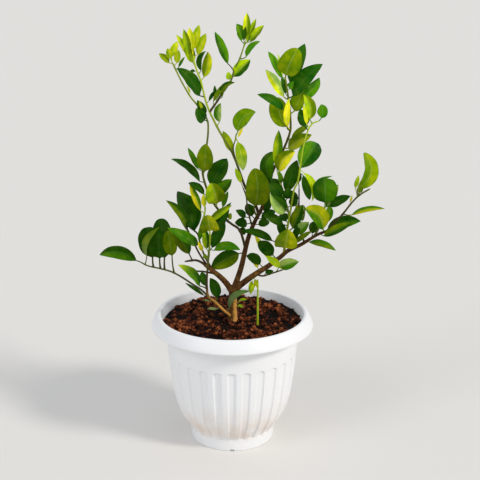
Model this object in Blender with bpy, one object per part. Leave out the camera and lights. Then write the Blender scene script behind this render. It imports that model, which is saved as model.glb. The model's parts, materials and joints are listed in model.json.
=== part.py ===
"""A young lemon tree in a round, fluted white nursery pot.

Metres, +Z up. The origin is on the pot's axis, in the plane that its foot rests on, and -Y is the front.
Lengths in the tables below are in millimetres and are scaled by MM.
"""

import math

import bmesh
import bpy
import numpy as np
from mathutils import Vector

MM = 0.001
GAP = 0.3  # between pieces that touch

# Pot: turned wall with a rolled rim, flutes pressed into the body, and a foot ring.
POT_OUTSIDE = (
    (64.5, 0), (65.8, 19.5), (73, 30), (81, 43), (87, 58), (91.5, 76), (95, 100), (98.5, 130),
    (101, 155), (103.5, 186), (123.5, 185), (125, 187.5), (123.5, 192), (120, 199), (117, 203.5),
)
POT_INSIDE = (
    (113.8, 205.6), (110.8, 204), (108.4, 198), (106, 191.5), (101.3, 185.5), (95, 130), (91.5, 100),
    (83.5, 58), (69.5, 30), (60, 10), (0, 10),
)
POT_UNDERSIDE = ((0, 6), (58, 6), (60, 0))  # raised, so that the pot stands on its foot ring
POT_COLLAR_TOP = 186  # above it the wall turns out into the rim
POT_SIDES = 56
FLUTES = 28
FLUTE_SHARE = 0.52  # of the pitch, the rest is the rib
FLUTE_DEPTH = 1.7
FLUTE_FOOT = 19.8
FLUTE_SPRING = 138  # where the rounded top begins
FLUTE_SHOULDER = 142
FLUTE_TOP = 145
FLUTE_SHOULDER_SHARE = 0.8  # of the flute's width
FLUTE_TOP_SHARE = 0.35
FLUTE_CUTTER_REACH = 4  # outside the wall
DRAIN_HOLES = 5
DRAIN_RADIUS = 5
DRAIN_CIRCLE = 38
DRAIN_SIDES = 12
NOTCH_WIDTH = 6.5  # lets water run out from under the foot, at the front
NOTCH_HEIGHT = 2.5
NOTCH_DEPTH = 20
NOTCH_CENTRE = -62

# Soil
SOIL_TOP = 195
SOIL_SIDES = 36
SOIL_WALL_GAP = 0.9  # the turned walls have different numbers of sides, so the gap varies
SOIL_EDGE_DROP = 3
SOIL_RINGS = (101, 86, 70, 52, 32, 12)
SOIL_LUMP = 1.6
SOCKET_GAP = 0.5  # round and under a stem that stands in the soil
SOCKET_SIDES = 12

# Stems: (parent, share along the parent, root diameter, tip diameter, points of the route).
# A route starts on its parent, and a limb grows out of the trunk in one piece with it.
TRUNK = [(1, -9, 172), (1, -9, 192), (1, -9, 219), (1, -8, 246)]
TRUNK_DIAMETERS = (14.6, 12)
LIMBS = {
    "limb_left": (
        "trunk", 0.93, 10, 6.6,
        [(-9, -11, 257), (-18, -14, 268), (-29, -18, 279), (-41, -22, 291)],
    ),
    "limb_centre": (
        "trunk", 0.95, 9.4, 4.6,
        [(6, -6, 256), (14, -2, 280), (21, 4, 310), (27, 8, 331), (36, 12, 351), (45, 16, 368),
         (54, 20, 396), (57, 24, 412)],
    ),
    "limb_right": (
        "trunk", 0.92, 10.4, 4,
        [(12, -10, 253), (33, -20, 273), (54, -28, 290), (72, -36, 307), (83, -42, 319), (103, -50, 332),
         (125, -58, 349), (139, -62, 356)],
    ),
}
SHOOTS = {
    "right_leader": (
        "limb_centre", 1, 4.2, 2.4,
        [(66, 28, 433), (77, 30, 455), (87, 30, 483), (87, 28, 509), (83, 26, 540), (79, 24, 565)],
    ),
    "left_leader": (
        "limb_centre", 0.38, 4, 2.2,
        [(12, -6, 339), (0, -12, 351), (-9, -16, 360), (-22, -18, 378), (-33, -16, 396), (-41, -14, 419),
         (-43, -12, 433), (-40, -6, 452), (-37, 0, 471), (-35, 4, 492), (-37, 6, 508), (-50, 4, 528),
         (-61, 0, 543), (-74, -6, 568), (-86, -10, 595)],
    ),
    "tall_leader": (
        "limb_centre", 0.69, 4.4, 2.2,
        [(33, 8, 382), (24, 4, 397), (18, 0, 410), (3, -4, 454), (-9, -6, 476), (-22, -8, 500),
         (-36, -12, 532), (-44, -18, 567), (-52, -22, 591), (-55, -24, 607)],
    ),
    "top_twig": (
        "tall_leader", 0.67, 3.2, 2,
        [(-23, -6, 534), (-15, -2, 546), (-8, 1, 555), (-1, 3, 566), (3, 5, 578), (12, 6, 598),
         (20, 6, 622)],
    ),
    "young_twig": (
        "tall_leader", 0.37, 2.6, 1.8,
        [(2, -10, 468), (5, -16, 481), (6, -18, 488)],
    ),
    "mid_twig": (
        "limb_centre", 0.57, 2.6, 1.8,
        [(26, 4, 359), (23, -2, 377), (21, -8, 394), (16, -12, 409)],
    ),
    "front_shoot": (
        "trunk", 0.38, 4.2, 2.4,
        [(-12, -22, 216), (-26, -28, 233), (-36, -33, 244), (-38, -35, 264), (-37, -38, 284),
         (-34, -42, 318), (-32, -45, 342), (-34, -47, 360)],
    ),
    "far_left_twig": (
        "front_shoot", 0.33, 3.2, 2.2,
        [(-46, -26, 251), (-61, -12, 256), (-77, 4, 261), (-93, 20, 264), (-111, 38, 263),
         (-133, 58, 261), (-147, 72, 263)],
    ),
    "left_stub": (
        "limb_left", 1, 3.8, 2.8,
        [(-54, -18, 296), (-72, -12, 292)],
    ),
    "lower_stub": (
        "limb_left", 0.62, 3.2, 2.4,
        [(-44, -12, 276), (-60, -10, 276)],
    ),
    "left_shoot_a": (
        "limb_left", 0.9, 3.2, 2.2,
        [(-50, -18, 308), (-58, -14, 324), (-66, -8, 339), (-71, -4, 352)],
    ),
    "left_shoot_b": (
        "limb_left", 0.72, 3.2, 2.2,
        [(-41, -25, 305), (-49, -22, 330), (-48, -20, 347), (-41, -16, 368), (-40, -14, 380)],
    ),
    "bright_shoot": (
        "limb_right", 0.58, 3.4, 2,
        [(79, -42, 331), (81, -44, 350), (85, -44, 375), (88, -42, 393), (91, -40, 412), (97, -38, 427),
         (103, -34, 470), (109, -32, 495), (116, -30, 508), (126, -28, 512)],
    ),
    "inner_twig": (
        "bright_shoot", 0.28, 2.4, 1.8,
        [(81, -38, 388), (75, -34, 398), (75, -28, 409), (71, -22, 419), (67, -16, 433)],
    ),
    "rear_twig": (
        "limb_right", 0.79, 2.8, 2,
        [(101, -41, 348), (98, -36, 368), (99, -30, 389), (99, -26, 413)],
    ),
    "low_twig": (
        "limb_right", 0.27, 2.8, 2,
        [(46, -32, 276), (60, -37, 282), (78, -42, 290)],
    ),
    "cluster_twig": (
        "limb_right", 0.88, 3, 2.2,
        [(127, -60, 360), (131, -62, 379), (135, -64, 396)],
    ),
    "right_shoot": (
        "limb_right", 1, 3.4, 2.2,
        [(150, -68, 372), (160, -74, 385), (172, -80, 404), (183, -84, 417), (197, -88, 427)],
    ),
    "sucker": (
        None, 0, 3.4, 2.6,
        [(39, -26, 184), (39, -26, 219), (39, -25, 268)],
    ),
}

# Leaves by stem: (share along it, tip from there, width, roll, arch, bow, petiole, blunt), the last three
# only where they differ from 0, PETIOLE_LENGTH and 0. At roll 0 the face looks to the front and a little up,
# and a positive roll turns it further up. Arch lifts the midrib off a straight line and bow bends it
# sideways, as shares of its length. Blunt rounds off the outer half of the outline.
LEAVES = {
    "left_leader": [
        (0.19, (6, -7, 14), 7, 0, 0.1), (0.25, (13, 7, 29), 7, 0, 0.1),
        (0.28, (-6, -14, 39), 26, 0, 0.15, 0, 7, 0.6), (0.32, (31, 2, 29), 16, 0, 0.1),
        (0.34, (-31, 7, 16), 11, 0, 0.1, -0.08), (0.37, (30, 19, 41), 25, 0, 0.1),
        (0.4, (-50, 14, 32), 13, 10, 0.1, -0.08), (0.44, (5, -8, 47), 22, 0, 0.1, 0, 7, 0.4),
        (0.45, (-22, 9, 34), 8, 0, 0.1), (0.68, (-16, -15, 22), 15, 0, 0.2, 0.1),
        (0.7, (-12, -6, 26), 11, 0, 0.1), (0.74, (-2, -14, 16), 4, 0, 0.2),
        (0.83, (-3, -5, 14), 3, 0, 0.1), (0.96, (13, 5, 18), 4, 0, 0.1), (0.98, (8, -6, 24), 9, 0, 0.05),
        (0.99, (-20, 5, 14), 9, 0, 0.1), (1, (-6, -4, 20), 9, 0, 0.05), (1, (8, 8, 28), 10, 0, 0.05),
    ],
    "front_shoot": [
        (0.12, (38, -13, 38), 9, 0, 0.1, 0.2), (0.19, (-20, -10, 1), 4, 0, 0.1),
        (0.25, (-9, 10, 36), 15, 0, 0.1, -0.1), (0.3, (-13, -8, 2), 3, 0, 0.1),
        (0.34, (-36, 10, 19), 5, 0, 0.1), (0.42, (-42, -15, 43), 15, 10, 0.15, -0.06, 12),
        (0.42, (-8, 14, 22), 11, 0, 0.1), (0.73, (-8, -14, 0), 8, 0, 0.1),
        (0.75, (-6, 9, 36), 11, 0, 0.1), (0.77, (23, 26, 38), 16, 0, 0.1),
        (0.78, (46, -11, 3), 13, 0, 0.1, 0.13), (0.89, (28, 20, 38), 12, 0, 0.1),
        (0.96, (-2, -34, 33), 25, 0, 0.2, 0, 6, 1), (0.98, (33, 6, 37), 8, 0, 0.1),
        (1, (34, -8, 33), 10, 0, 0.1),
    ],
    "left_shoot_b": [
        (0.36, (-6, -14, 19), 6, 0, 0.1), (0.46, (-48, -20, 32), 17, 10, 0.1, 0.05, 2),
        (0.58, (-33, 36, 59), 30, 0, 0.15, -0.06, 11), (0.87, (-8, -10, -37), 8, 0, 0.2),
        (0.9, (-22, 8, 43), 10, 0, 0.05), (0.97, (-2, -6, 24), 7, 0, 0.05),
    ],
    "left_shoot_a": [(0.8, (-31, -32, 58), 13, 0, 0.1, -0.1)],
    "left_stub": [(0.63, (-30, 13, 41), 17, 0, 0.1, -0.05, 10)],
    "limb_centre": [
        (0.34, (-51, -13, -20), 23, 0, 0.1, 0, 7), (0.51, (-18, -4, 7), 10, 0, 0.1),
        (0.6, (24, 4, 2), 12, 0, 0.1), (0.67, (-6, -28, 82), 33, 0, 0.1, -0.08, 22, 0.8),
        (0.64, (-14, 8, 23), 14, 0, 0.1), (0.7, (18, 6, 27), 15, 0, 0.1),
        (0.65, (29, 14, 8), 13, 0, 0.1), (0.8, (34, 26, 5), 15, 0, 0.1),
        (0.95, (8, 12, 48), 19, 0, 0.1, 0.2, 7, 0.5),
    ],
    "far_left_twig": [
        (0.5, (-9, 8, 66), 19, 0, 0.1, 0, 27, 0.6), (0.64, (-6, 34, 73), 29, 0, 0.1, 0, 18, 0.9),
        (0.7, (-2, -2, 63), 29, 0, 0.1, 0, 17, 0.9), (0.8, (-11, 28, 57), 31, 0, 0.1, 0, 15, 1),
        (0.92, (28, -54, 79), 10, 0, 0.1, 0.1, 20), (1, (-66, 16, 6), 19, 0, 0.1, -0.12),
    ],
    "tall_leader": [
        (0.39, (-16, 9, 35), 11, 0, 0.1), (0.58, (6, 8, 33), 11, 0, 0.1, 0.12),
        (0.72, (12, 17, 15), 5, 0, 0.1), (0.76, (-39, -14, 44), 20, 0, 0.1, -0.05),
        (0.85, (10, 10, 41), 13, 0, 0.1, -0.08), (0.89, (11, 16, 31), 8, 0, 0.1, 0.2),
        (0.91, (-11, 9, -3), 5, 0, 0.1), (0.94, (-13, 4, 33), 13, 0, 0.1),
        (0.975, (-25, 9, 34), 9, 0, 0.1), (0.985, (18, 4, 34), 12, 0, 0.05),
        (0.99, (-13, -6, 40), 10, 0, 0.1), (1, (-5, 4, 38), 10, 0, 0.05), (1, (9, 12, 41), 11, 0, 0.05),
    ],
    "young_twig": [
        (0.91, (11, -12, -46), 15, 10, 0.1), (0.95, (11, -10, 16), 4, 0, 0.1),
        (1, (29, 6, 34), 21, 0, 0.05, 0.2),
    ],
    "mid_twig": [
        (0.1, (-25, -8, 3), 14, 0, 0.1), (0.24, (-21, -5, 13), 11, 0, 0.1), (1, (-11, 7, 27), 7, 0, 0.1),
    ],
    "top_twig": [
        (0.09, (17, 6, 33), 7, 0, 0.1), (0.17, (-4, 4, 22), 5, 0, 0.1),
        (0.2, (24, -6, 25), 8, 0, 0.1, 0.25), (0.47, (-4, -8, 15), 8, 0, 0.1),
        (0.53, (26, 4, 24), 18, 0, 0.1, 0, 2), (0.6, (-28, 15, 55), 12, 0, 0.1, 0, 14),
        (0.77, (30, 9, 24), 9, 0, 0.1, 0.12, 10), (0.95, (17, 9, 37), 8, 0, 0.05),
        (0.965, (-12, 7, 28), 14, 0, 0.1, -0.1), (0.98, (27, 2, 25), 12, 0, 0.1),
        (0.985, (1, -8, 24), 6, 0, 0.05), (1, (2, 6, 40), 10, 0, 0.05),
    ],
    "right_leader": [
        (0.32, (40, -25, 26), 19, 0, 0.1), (0.41, (32, 25, 16), 9, 0, 0.1),
        (0.5, (-18, 25, 45), 26, 0, 0.1, 0.12, 8, 0.7), (0.51, (-3, -10, 49), 9, 0, 0.1, 0.05),
        (0.66, (19, 3, 34), 21, 0, 0.1), (0.69, (-49, -13, 27), 13, 0, 0.1, -0.05, 10),
        (0.75, (46, 30, 35), 16, 0, 0.1, -0.12), (0.8, (-34, 13, 42), 14, 0, 0.1, 0, 8),
        (0.81, (49, -14, 53), 23, 0, 0.1, 0.05), (0.82, (-10, 9, 30), 7, 0, 0.1),
        (0.93, (27, 20, 59), 20, 0, 0.1), (0.89, (9, -9, 14), 8, 0, 0.1),
        (0.98, (-26, 12, 41), 12, 0, 0.1), (0.99, (-12, 4, 38), 4, 0, 0.1),
        (1, (16, -18, 47), 30, 0, 0.15, 0, 5, 0.9),
    ],
    "bright_shoot": [
        (0.05, (4, -30, 38), 30, 0, 0.1, 0, 8, 0.6), (0.08, (-62, -2, 22), 11, 0, 0.1, -0.05, 19),
        (0.12, (-10, 15, 23), 12, 0, 0.1), (0.17, (23, 3, 41), 17, 0, 0.1, 0, 10),
        (0.22, (-37, -8, 20), 13, 0, 0.1), (0.24, (-10, 16, 9), 13, 0, 0.1),
        (0.6, (16, 6, -43), 11, 0, 0.1), (0.62, (18, -8, -45), 9, 0, 0.1, 0.18),
        (0.63, (26, 41, 29), 28, 0, 0.1, 0, 3, 0.4), (0.9, (-11, 7, 29), 17, 0, 0.1),
        (0.92, (-10, -9, 35), 6, 0, 0.1), (0.95, (-13, 6, 42), 15, 0, 0.1, -0.12),
        (1, (3, 7, 23), 14, 0, 0.1, -0.1),
    ],
    "inner_twig": [
        (0.12, (-27, -14, 31), 19, 0, 0.1, 0.1, 4), (0.15, (-13, 1, 24), 10, 0, 0.1),
        (0.21, (14, 4, 13), 12, 0, 0.1), (0.34, (5, -3, 23), 12, 0, 0.1),
        (0.41, (-22, -16, 28), 19, 0, 0.1), (0.5, (21, 10, 50), 18, 0, 0.1),
        (0.7, (-4, -10, 25), 7, 0, 0.1), (0.6, (-16, 14, 14), 12, 0, 0.1),
        (0.98, (25, -4, 33), 19, 0, 0.1, 0.13, 3, 0.3), (1, (2, 14, 60), 13, 0, 0.1),
    ],
    "rear_twig": [
        (0.35, (7, 7, 26), 7, 0, 0.1), (0.4, (0, 11, 22), 13, 0, 0.1),
        (0.5, (7, 8, 14), 14, 0, 0.1, 0, 2), (0.55, (-4, -6, 16), 4, 0, 0.1),
        (0.69, (-13, 0, 22), 12, 0, 0.1), (1, (-6, 10, 23), 12, 0, 0.1),
    ],
    "limb_right": [
        (0.23, (-4, -15, -20), 6, 0, 0.1), (0.25, (5, -17, -14), 5, 0, 0.1),
        (0.31, (-8, 12, 17), 7, 0, 0.1), (0.36, (-27, 7, 18), 14, 0, 0.15, -0.1),
        (0.44, (-25, 22, 38), 8, 0, 0.1), (0.5, (-28, 14, 24), 18, 0, 0.15),
        (0.65, (27, -11, 46), 14, 0, 0.1, 0, 28), (0.66, (10, -5, 18), 3, 0, 0.1),
        (0.68, (10, -4, 44), 9, 0, 0.1), (0.7, (24, -14, 30), 7, 0, 0.1),
        (0.82, (41, -11, -12), 10, 0, 0.1, 0.06, 2), (0.87, (3, 16, 20), 12, 0, 0.1),
        (0.94, (45, -15, 21), 12, 0, 0.1), (0.97, (54, 2, 16), 17, 0, 0.1, 0.1),
        (0.98, (-30, -22, 42), 24, 0, 0.1, -0.14, 5, 0.6),
    ],
    "low_twig": [
        (0.35, (14, -4, 9), 8, 0, 0.1), (0.75, (33, -6, 18), 16, 0, 0.1, 0.05),
        (0.95, (-26, -12, 26), 10, 0, 0.1),
    ],
    "cluster_twig": [
        (0.35, (14, 20, 29), 11, 0, 0.1, -0.2), (0.85, (22, 20, 33), 11, 0, 0.1),
        (0.97, (36, -10, 18), 13, 0, 0.1), (0.95, (13, 30, 38), 8, 0, 0.1, 0.42),
        (1, (-1, 12, 36), 32, 0, 0.2, 0, 3, 1),
    ],
    "right_shoot": [
        (0.4, (59, -8, 10), 8, 0, 0.1, 0.06, 12), (0.61, (2, 3, 12), 3, 0, 0.1),
        (0.8, (6, 10, 60), 19, 0, 0.1, -0.28, 10, 0.7), (0.77, (0, -5, 33), 6, 0, 0.1, 0, 14),
        (0.82, (3, -8, 16), 6, 0, 0.1),
    ],
    "sucker": [(0.98, (-12, -10, -19), 5, 0, 0.3)],
    "trunk": [
        (0.64, (16, -4, -2), 6, 40, 0.2), (0.7, (22, -5, 7), 6, 40, 0.2),
    ],
}
LEAF_NODE_AREA = 800  # length times width above which a leaf is a piece of its own
LEAF_ROOT_DEPTH = 0.8  # of a smaller leaf's petiole, inside the stem that it grows out of
PETIOLE_RADIUS = 1
PETIOLE_LENGTH = 7
PETIOLE_MOST = 0.22  # of the leaf's reach
LEAF_THICKNESS = 0.9
LEAF_FOLD = 0.28  # rise of the edges over the midrib, as a share of the half width
LEAF_BREADTH = 1.12  # of the widths in the table
# Share of the length, share of the width, and the width share that a fully blunt leaf has there.
LEAF_STATIONS = ((0.0, 0.12, 0.12), (0.2, 0.84, 0.82), (0.48, 1.0, 1.0), (0.8, 0.64, 0.8))
FRONT_FACE = Vector((0, -math.cos(math.radians(30)), math.sin(math.radians(30))))
ROLL_SENSE = Vector((1, 0, 2))  # a leaf rolls towards the side of it that lies this way
STEM_SIDES = 6
LIMB_SIDES = 8


def material(name, colour, roughness):
    made = bpy.data.materials.new(name)
    made.use_nodes = True
    shader = made.node_tree.nodes["Principled BSDF"]
    shader.inputs["Base Color"].default_value = (*colour, 1)
    shader.inputs["Roughness"].default_value = roughness
    shader.inputs["Metallic"].default_value = 0
    return made


def add_object(name, mesh_data, made_of=None, smooth=True):
    mesh = bpy.data.meshes.new(name)
    mesh_data.to_mesh(mesh)
    mesh_data.free()
    if smooth:
        mesh.shade_smooth()
        mesh.set_sharp_from_angle(angle=math.radians(40))
    placed = bpy.data.objects.new(name, mesh)
    bpy.context.scene.collection.objects.link(placed)
    if made_of:
        mesh.materials.append(made_of)
    else:
        placed.hide_render = True
        placed.display_type = "WIRE"
    return placed


def combine(target, operation, others):
    """Applies a Boolean of every helper in the list, through a hidden collection of them."""
    helpers = bpy.data.collections.new(target.name + "_helpers")
    bpy.context.scene.collection.children.link(helpers)
    helpers.hide_render = True
    for other in others:
        bpy.context.scene.collection.objects.unlink(other)
        helpers.objects.link(other)
    boolean = target.modifiers.new(operation.lower(), "BOOLEAN")
    boolean.operation = operation
    boolean.solver = "EXACT"
    boolean.operand_type = "COLLECTION"
    boolean.collection = helpers


def loft(rings, end_point=None):
    """A closed skin over rings of equal length, with a flat start and a flat or pointed end."""
    skin = bmesh.new()
    rows = [[skin.verts.new(Vector(point) * MM) for point in ring] for ring in rings]
    sides = len(rows[0])
    for lower, upper in zip(rows, rows[1:]):
        for i in range(sides):
            j = (i + 1) % sides
            skin.faces.new((lower[i], lower[j], upper[j], upper[i]))
    skin.faces.new(reversed(rows[0]))
    if end_point is None:
        skin.faces.new(rows[-1])
    else:
        tip = skin.verts.new(Vector(end_point) * MM)
        for i in range(sides):
            skin.faces.new((rows[-1][i], rows[-1][(i + 1) % sides], tip))
    bmesh.ops.recalc_face_normals(skin, faces=skin.faces)
    return skin


def around(radius, height, sides):
    """A ring of points round Z, or the one point of it if it lies on the axis."""
    if radius == 0:
        return [Vector((0, 0, height))]
    turns = [2 * math.pi * i / sides for i in range(sides)]
    return [Vector((radius * math.cos(a), radius * math.sin(a), height)) for a in turns]


def turned(outline, sides):
    """A solid turned round Z from an outline that starts and ends on the axis."""
    skin = bmesh.new()
    rows = [[skin.verts.new(p * MM) for p in around(r, z, sides)] for r, z in outline]
    for lower, upper in zip(rows, rows[1:]):
        for i in range(sides):
            j = (i + 1) % sides
            corners = [upper[i % len(upper)]]
            if len(upper) > 1:
                corners.append(upper[j])
            corners.append(lower[j % len(lower)])
            if len(lower) > 1:
                corners.append(lower[i])
            skin.faces.new(corners)
    bmesh.ops.recalc_face_normals(skin, faces=skin.faces)
    return skin


def outside_radius(height):
    """Of the pot's wall, up to the top of its collar."""
    wall = POT_OUTSIDE[:[z for _, z in POT_OUTSIDE].index(POT_COLLAR_TOP) + 1]
    return float(np.interp(height, [z for _, z in wall], [r for r, _ in wall]))


def flute_cutter(turn):
    """A bar that follows the wall and stands FLUTE_DEPTH into it, with a rounded top."""
    half = math.pi / FLUTES * FLUTE_SHARE
    bends = [z for _, z in POT_OUTSIDE if FLUTE_FOOT < z < FLUTE_SPRING]
    levels = [(z, 1) for z in (FLUTE_FOOT, *bends, FLUTE_SPRING)]
    levels += [(FLUTE_SHOULDER, FLUTE_SHOULDER_SHARE), (FLUTE_TOP, FLUTE_TOP_SHARE)]
    inside, outside = -FLUTE_DEPTH, FLUTE_CUTTER_REACH
    rings = []
    for height, width in levels:
        ring = []
        for depth, side in ((inside, -1), (inside, 1), (outside, 1), (outside, -1)):
            angle = turn + side * half * width
            radius = outside_radius(height) + depth
            ring.append((radius * math.cos(angle), radius * math.sin(angle), height))
        rings.append(ring)
    return add_object("flute_cutter", loft(rings))


def drill(name, x, y, radius, low, high, sides):
    """An upright cutter for a round hole."""
    made = turned(((0, low), (radius, low), (radius, high), (0, high)), sides)
    bmesh.ops.translate(made, verts=made.verts, vec=Vector((x, y, 0)) * MM)
    return add_object(name, made)


def make_pot():
    white_plastic = material("white_plastic", (0.86, 0.87, 0.89), 0.35)
    outline = POT_UNDERSIDE + POT_OUTSIDE + POT_INSIDE
    pot = add_object("pot", turned(outline, POT_SIDES), white_plastic)
    cutters = [flute_cutter(2 * math.pi * i / FLUTES - math.pi / 2) for i in range(FLUTES)]
    for i in range(DRAIN_HOLES):
        turn = 2 * math.pi * (i + 0.5) / DRAIN_HOLES
        x, y = DRAIN_CIRCLE * math.cos(turn), DRAIN_CIRCLE * math.sin(turn)
        low, high = 0, POT_UNDERSIDE[0][1] + POT_INSIDE[-1][1]
        cutters.append(drill("drain_cutter", x, y, DRAIN_RADIUS, low, high, DRAIN_SIDES))
    notch = bmesh.new()
    bmesh.ops.create_cube(notch, size=MM)
    bmesh.ops.scale(notch, verts=notch.verts, vec=(NOTCH_WIDTH, NOTCH_DEPTH, 2 * NOTCH_HEIGHT))
    bmesh.ops.translate(notch, verts=notch.verts, vec=Vector((0, NOTCH_CENTRE, 0)) * MM)
    cutters.append(add_object("notch_cutter", notch))
    combine(pot, "DIFFERENCE", cutters)


def make_soil():
    """Fills the pot to just under the rim, with a lumpy top and a socket for each stem that stands in it."""
    floor = POT_INSIDE[-1][1] + GAP
    foot, *wall = [(r - SOIL_WALL_GAP, z) for r, z in reversed(POT_INSIDE[3:-1])]
    (low_radius, low), (high_radius, high) = POT_INSIDE[3], POT_INSIDE[2]
    edge = SOIL_TOP - SOIL_EDGE_DROP
    edge_radius = float(np.interp(edge, (low, high), (low_radius, high_radius))) - SOIL_WALL_GAP
    outline = [(0, floor), (foot[0], floor), *wall, (edge_radius, edge)]
    outline += [(radius, SOIL_TOP) for radius in SOIL_RINGS] + [(0, SOIL_TOP)]
    skin = turned(outline, SOIL_SIDES)
    for vert in skin.verts:
        x, y, z = vert.co / MM
        if z > edge + GAP:
            lump = math.sin(x / 9.1 + 1.3) * math.cos(y / 7.7 + 0.4) + 0.5 * math.sin((x + y) / 5.3)
            vert.co.z += SOIL_LUMP * lump * MM
    soil = add_object("soil", skin, material("potting_soil", (0.08, 0.035, 0.02), 0.95))
    _, _, sucker_thick, _, sucker_route = SHOOTS["sucker"]
    high = SOIL_TOP + 4 * SOIL_LUMP
    sockets = []
    for (x, y, foot_height), thick in ((TRUNK[0], TRUNK_DIAMETERS[0]), (sucker_route[0], sucker_thick)):
        radius, low = thick / 2 + SOCKET_GAP, foot_height - SOCKET_GAP
        sockets.append(drill("socket_cutter", x, y, radius, low, high, SOCKET_SIDES))
    combine(soil, "DIFFERENCE", sockets)


def smooth_route(points, steps=2):
    """Points on a Catmull-Rom curve through the given ones."""
    points = [Vector(p) for p in points]
    ends = [2 * points[0] - points[1]] + points + [2 * points[-1] - points[-2]]
    route = []
    for a, b, c, d in zip(ends, ends[1:], ends[2:], ends[3:]):
        for i in range(steps):
            t = i / steps
            route.append(0.5 * (2 * b + (c - a) * t + (2 * a - 5 * b + 4 * c - d) * t * t
                                + (3 * b - a - 3 * c + d) * t ** 3))
    return route + [points[-1]]


class Stem:
    """A tapered round stem along a smooth route."""

    def __init__(self, route, thick, thin):
        self.route = route
        self.radii = (thick / 2, thin / 2)
        steps = [(b - a).length for a, b in zip(route, route[1:])]
        self.reached = [0.0]
        for step in steps:
            self.reached.append(self.reached[-1] + step)

    def at(self, share):
        """(point, direction, radius) at a share of the length."""
        wanted = share * self.reached[-1]
        for i, (low, high) in enumerate(zip(self.reached, self.reached[1:])):
            if wanted <= high or i == len(self.reached) - 2:
                t = min((wanted - low) / (high - low), 1)
                point = self.route[i].lerp(self.route[i + 1], t)
                direction = (self.route[i + 1] - self.route[i]).normalized()
                return point, direction, self.radii[0] + (self.radii[1] - self.radii[0]) * share

    def foot_of(self, share, towards):
        """Where something that leaves this stem starts, just clear of its bark, and the way it sets out."""
        point, direction, radius = self.at(share)
        if share == 1:
            return point + direction * GAP, direction
        away = towards - direction * towards.dot(direction)
        away.normalize()
        return point + away * (radius + GAP), away

    def skin(self, sides, first_direction=None):
        rings = []
        across = None
        for i, point in enumerate(self.route):
            before = self.route[max(i - 1, 0)]
            after = self.route[min(i + 1, len(self.route) - 1)]
            direction = (after - before).normalized()
            if i == 0 and first_direction:
                direction = first_direction
            if across is None:
                across = direction.orthogonal().normalized()
            across = (across - direction * across.dot(direction)).normalized()
            upright = direction.cross(across)
            radius = self.radii[0] + (self.radii[1] - self.radii[0]) * self.reached[i] / self.reached[-1]
            turns = [2 * math.pi * k / sides for k in range(sides)]
            rings.append([point + (across * math.cos(a) + upright * math.sin(a)) * radius for a in turns])
        return loft(rings)


def leaf_skin(foot, away, tip, width, roll, arch, bow=0.0, petiole=None, blunt=0.0):
    """A petiole that leaves its stem square, then a blade folded along its midrib and arched to its tip."""
    reach = tip - foot
    petiole = petiole or min(PETIOLE_LENGTH, PETIOLE_MOST * reach.length)
    lean = away * min(1, PETIOLE_LENGTH / petiole)
    base = foot + (lean + reach.normalized()).normalized() * petiole
    axis = (tip - base).normalized()
    length = (tip - base).length
    face = (FRONT_FACE - axis * FRONT_FACE.dot(axis)).normalized()
    side = axis.cross(face)
    if side.dot(ROLL_SENSE) < 0:
        side = -side
    turn = math.radians(roll)
    normal = face * math.cos(turn) + side * math.sin(turn)
    across = normal.cross(axis)
    bend = normal * arch + across * bow
    lift = away.orthogonal().normalized()
    beside = away.cross(lift)
    first = [foot + way * PETIOLE_RADIUS for way in (lift, beside, -lift, -beside)]
    rings = []
    for share, pointed_part, blunt_part in LEAF_STATIONS:
        middle = base + axis * (length * share) + bend * (4 * length * share * (1 - share))
        part = pointed_part + (blunt_part - pointed_part) * blunt
        half = max(width * LEAF_BREADTH / 2 * part, PETIOLE_RADIUS)
        thick = LEAF_THICKNESS / 2 if share > 0 else PETIOLE_RADIUS
        raised = middle + normal * (half * LEAF_FOLD * (share > 0))
        outward = (across - bend.dot(across) * 4 * (1 - 2 * share) * axis).normalized()
        rings.append([raised + outward * half, middle + normal * thick, raised - outward * half,
                      middle - normal * thick])
    starts = [first[k:] + first[:k] for k in range(4)]
    untwisted = max(starts, key=lambda ring: sum((a - foot).dot(b - base) for a, b in zip(ring, rings[0])))
    return loft([untwisted, *rings], end_point=tip)


def make_plant():
    bark = material("bark", (0.11, 0.07, 0.035), 0.8)
    green_stem = material("green_stem", (0.1, 0.16, 0.02), 0.5)
    leaf_green = material("lemon_leaf", (0.03, 0.13, 0.02), 0.35)
    stems = {"trunk": Stem(smooth_route(TRUNK), *TRUNK_DIAMETERS)}
    trunk = add_object("trunk", stems["trunk"].skin(LIMB_SIDES), bark)
    limbs = []
    for name, (parent, share, thick, thin, points) in LIMBS.items():
        start = stems[parent].at(share)[0]
        stems[name] = Stem(smooth_route([start, *points], 1), thick, thin)
        limbs.append(add_object(name, stems[name].skin(LIMB_SIDES)))
    placed = dict.fromkeys(("trunk", *LIMBS), trunk)
    for name, (parent, share, thick, thin, points) in SHOOTS.items():
        if parent is None:
            stems[name] = Stem(smooth_route(points), thick, thin)
            placed[name] = add_object(name, stems[name].skin(STEM_SIDES), green_stem)
            continue
        start = stems[parent].at(share)[0]
        foot, away = stems[parent].foot_of(share, Vector(points[0]) - start)
        stems[name] = Stem(smooth_route([foot, *points], 1), thick, thin)
        placed[name] = add_object(name, stems[name].skin(STEM_SIDES, away), green_stem)
    for name, leaves in LEAVES.items():
        joined = limbs if placed[name] is trunk else []
        for number, (share, offset, width, *shape) in enumerate(leaves, 1):
            point, direction, _ = stems[name].at(share)
            tip = point + Vector(offset)
            own = Vector(offset).length * width > LEAF_NODE_AREA
            foot, away = stems[name].foot_of(share, Vector(offset))
            if not own:
                foot = foot - away * (GAP + LEAF_ROOT_DEPTH)
            skin = leaf_skin(foot, away, tip, width, *shape)
            leaf = add_object(f"{name}_leaf_{number}", skin, leaf_green if own else None)
            if not own:
                joined.append(leaf)
        if joined and joined is not limbs:
            combine(placed[name], "UNION", joined)
    combine(trunk, "UNION", limbs)


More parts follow.
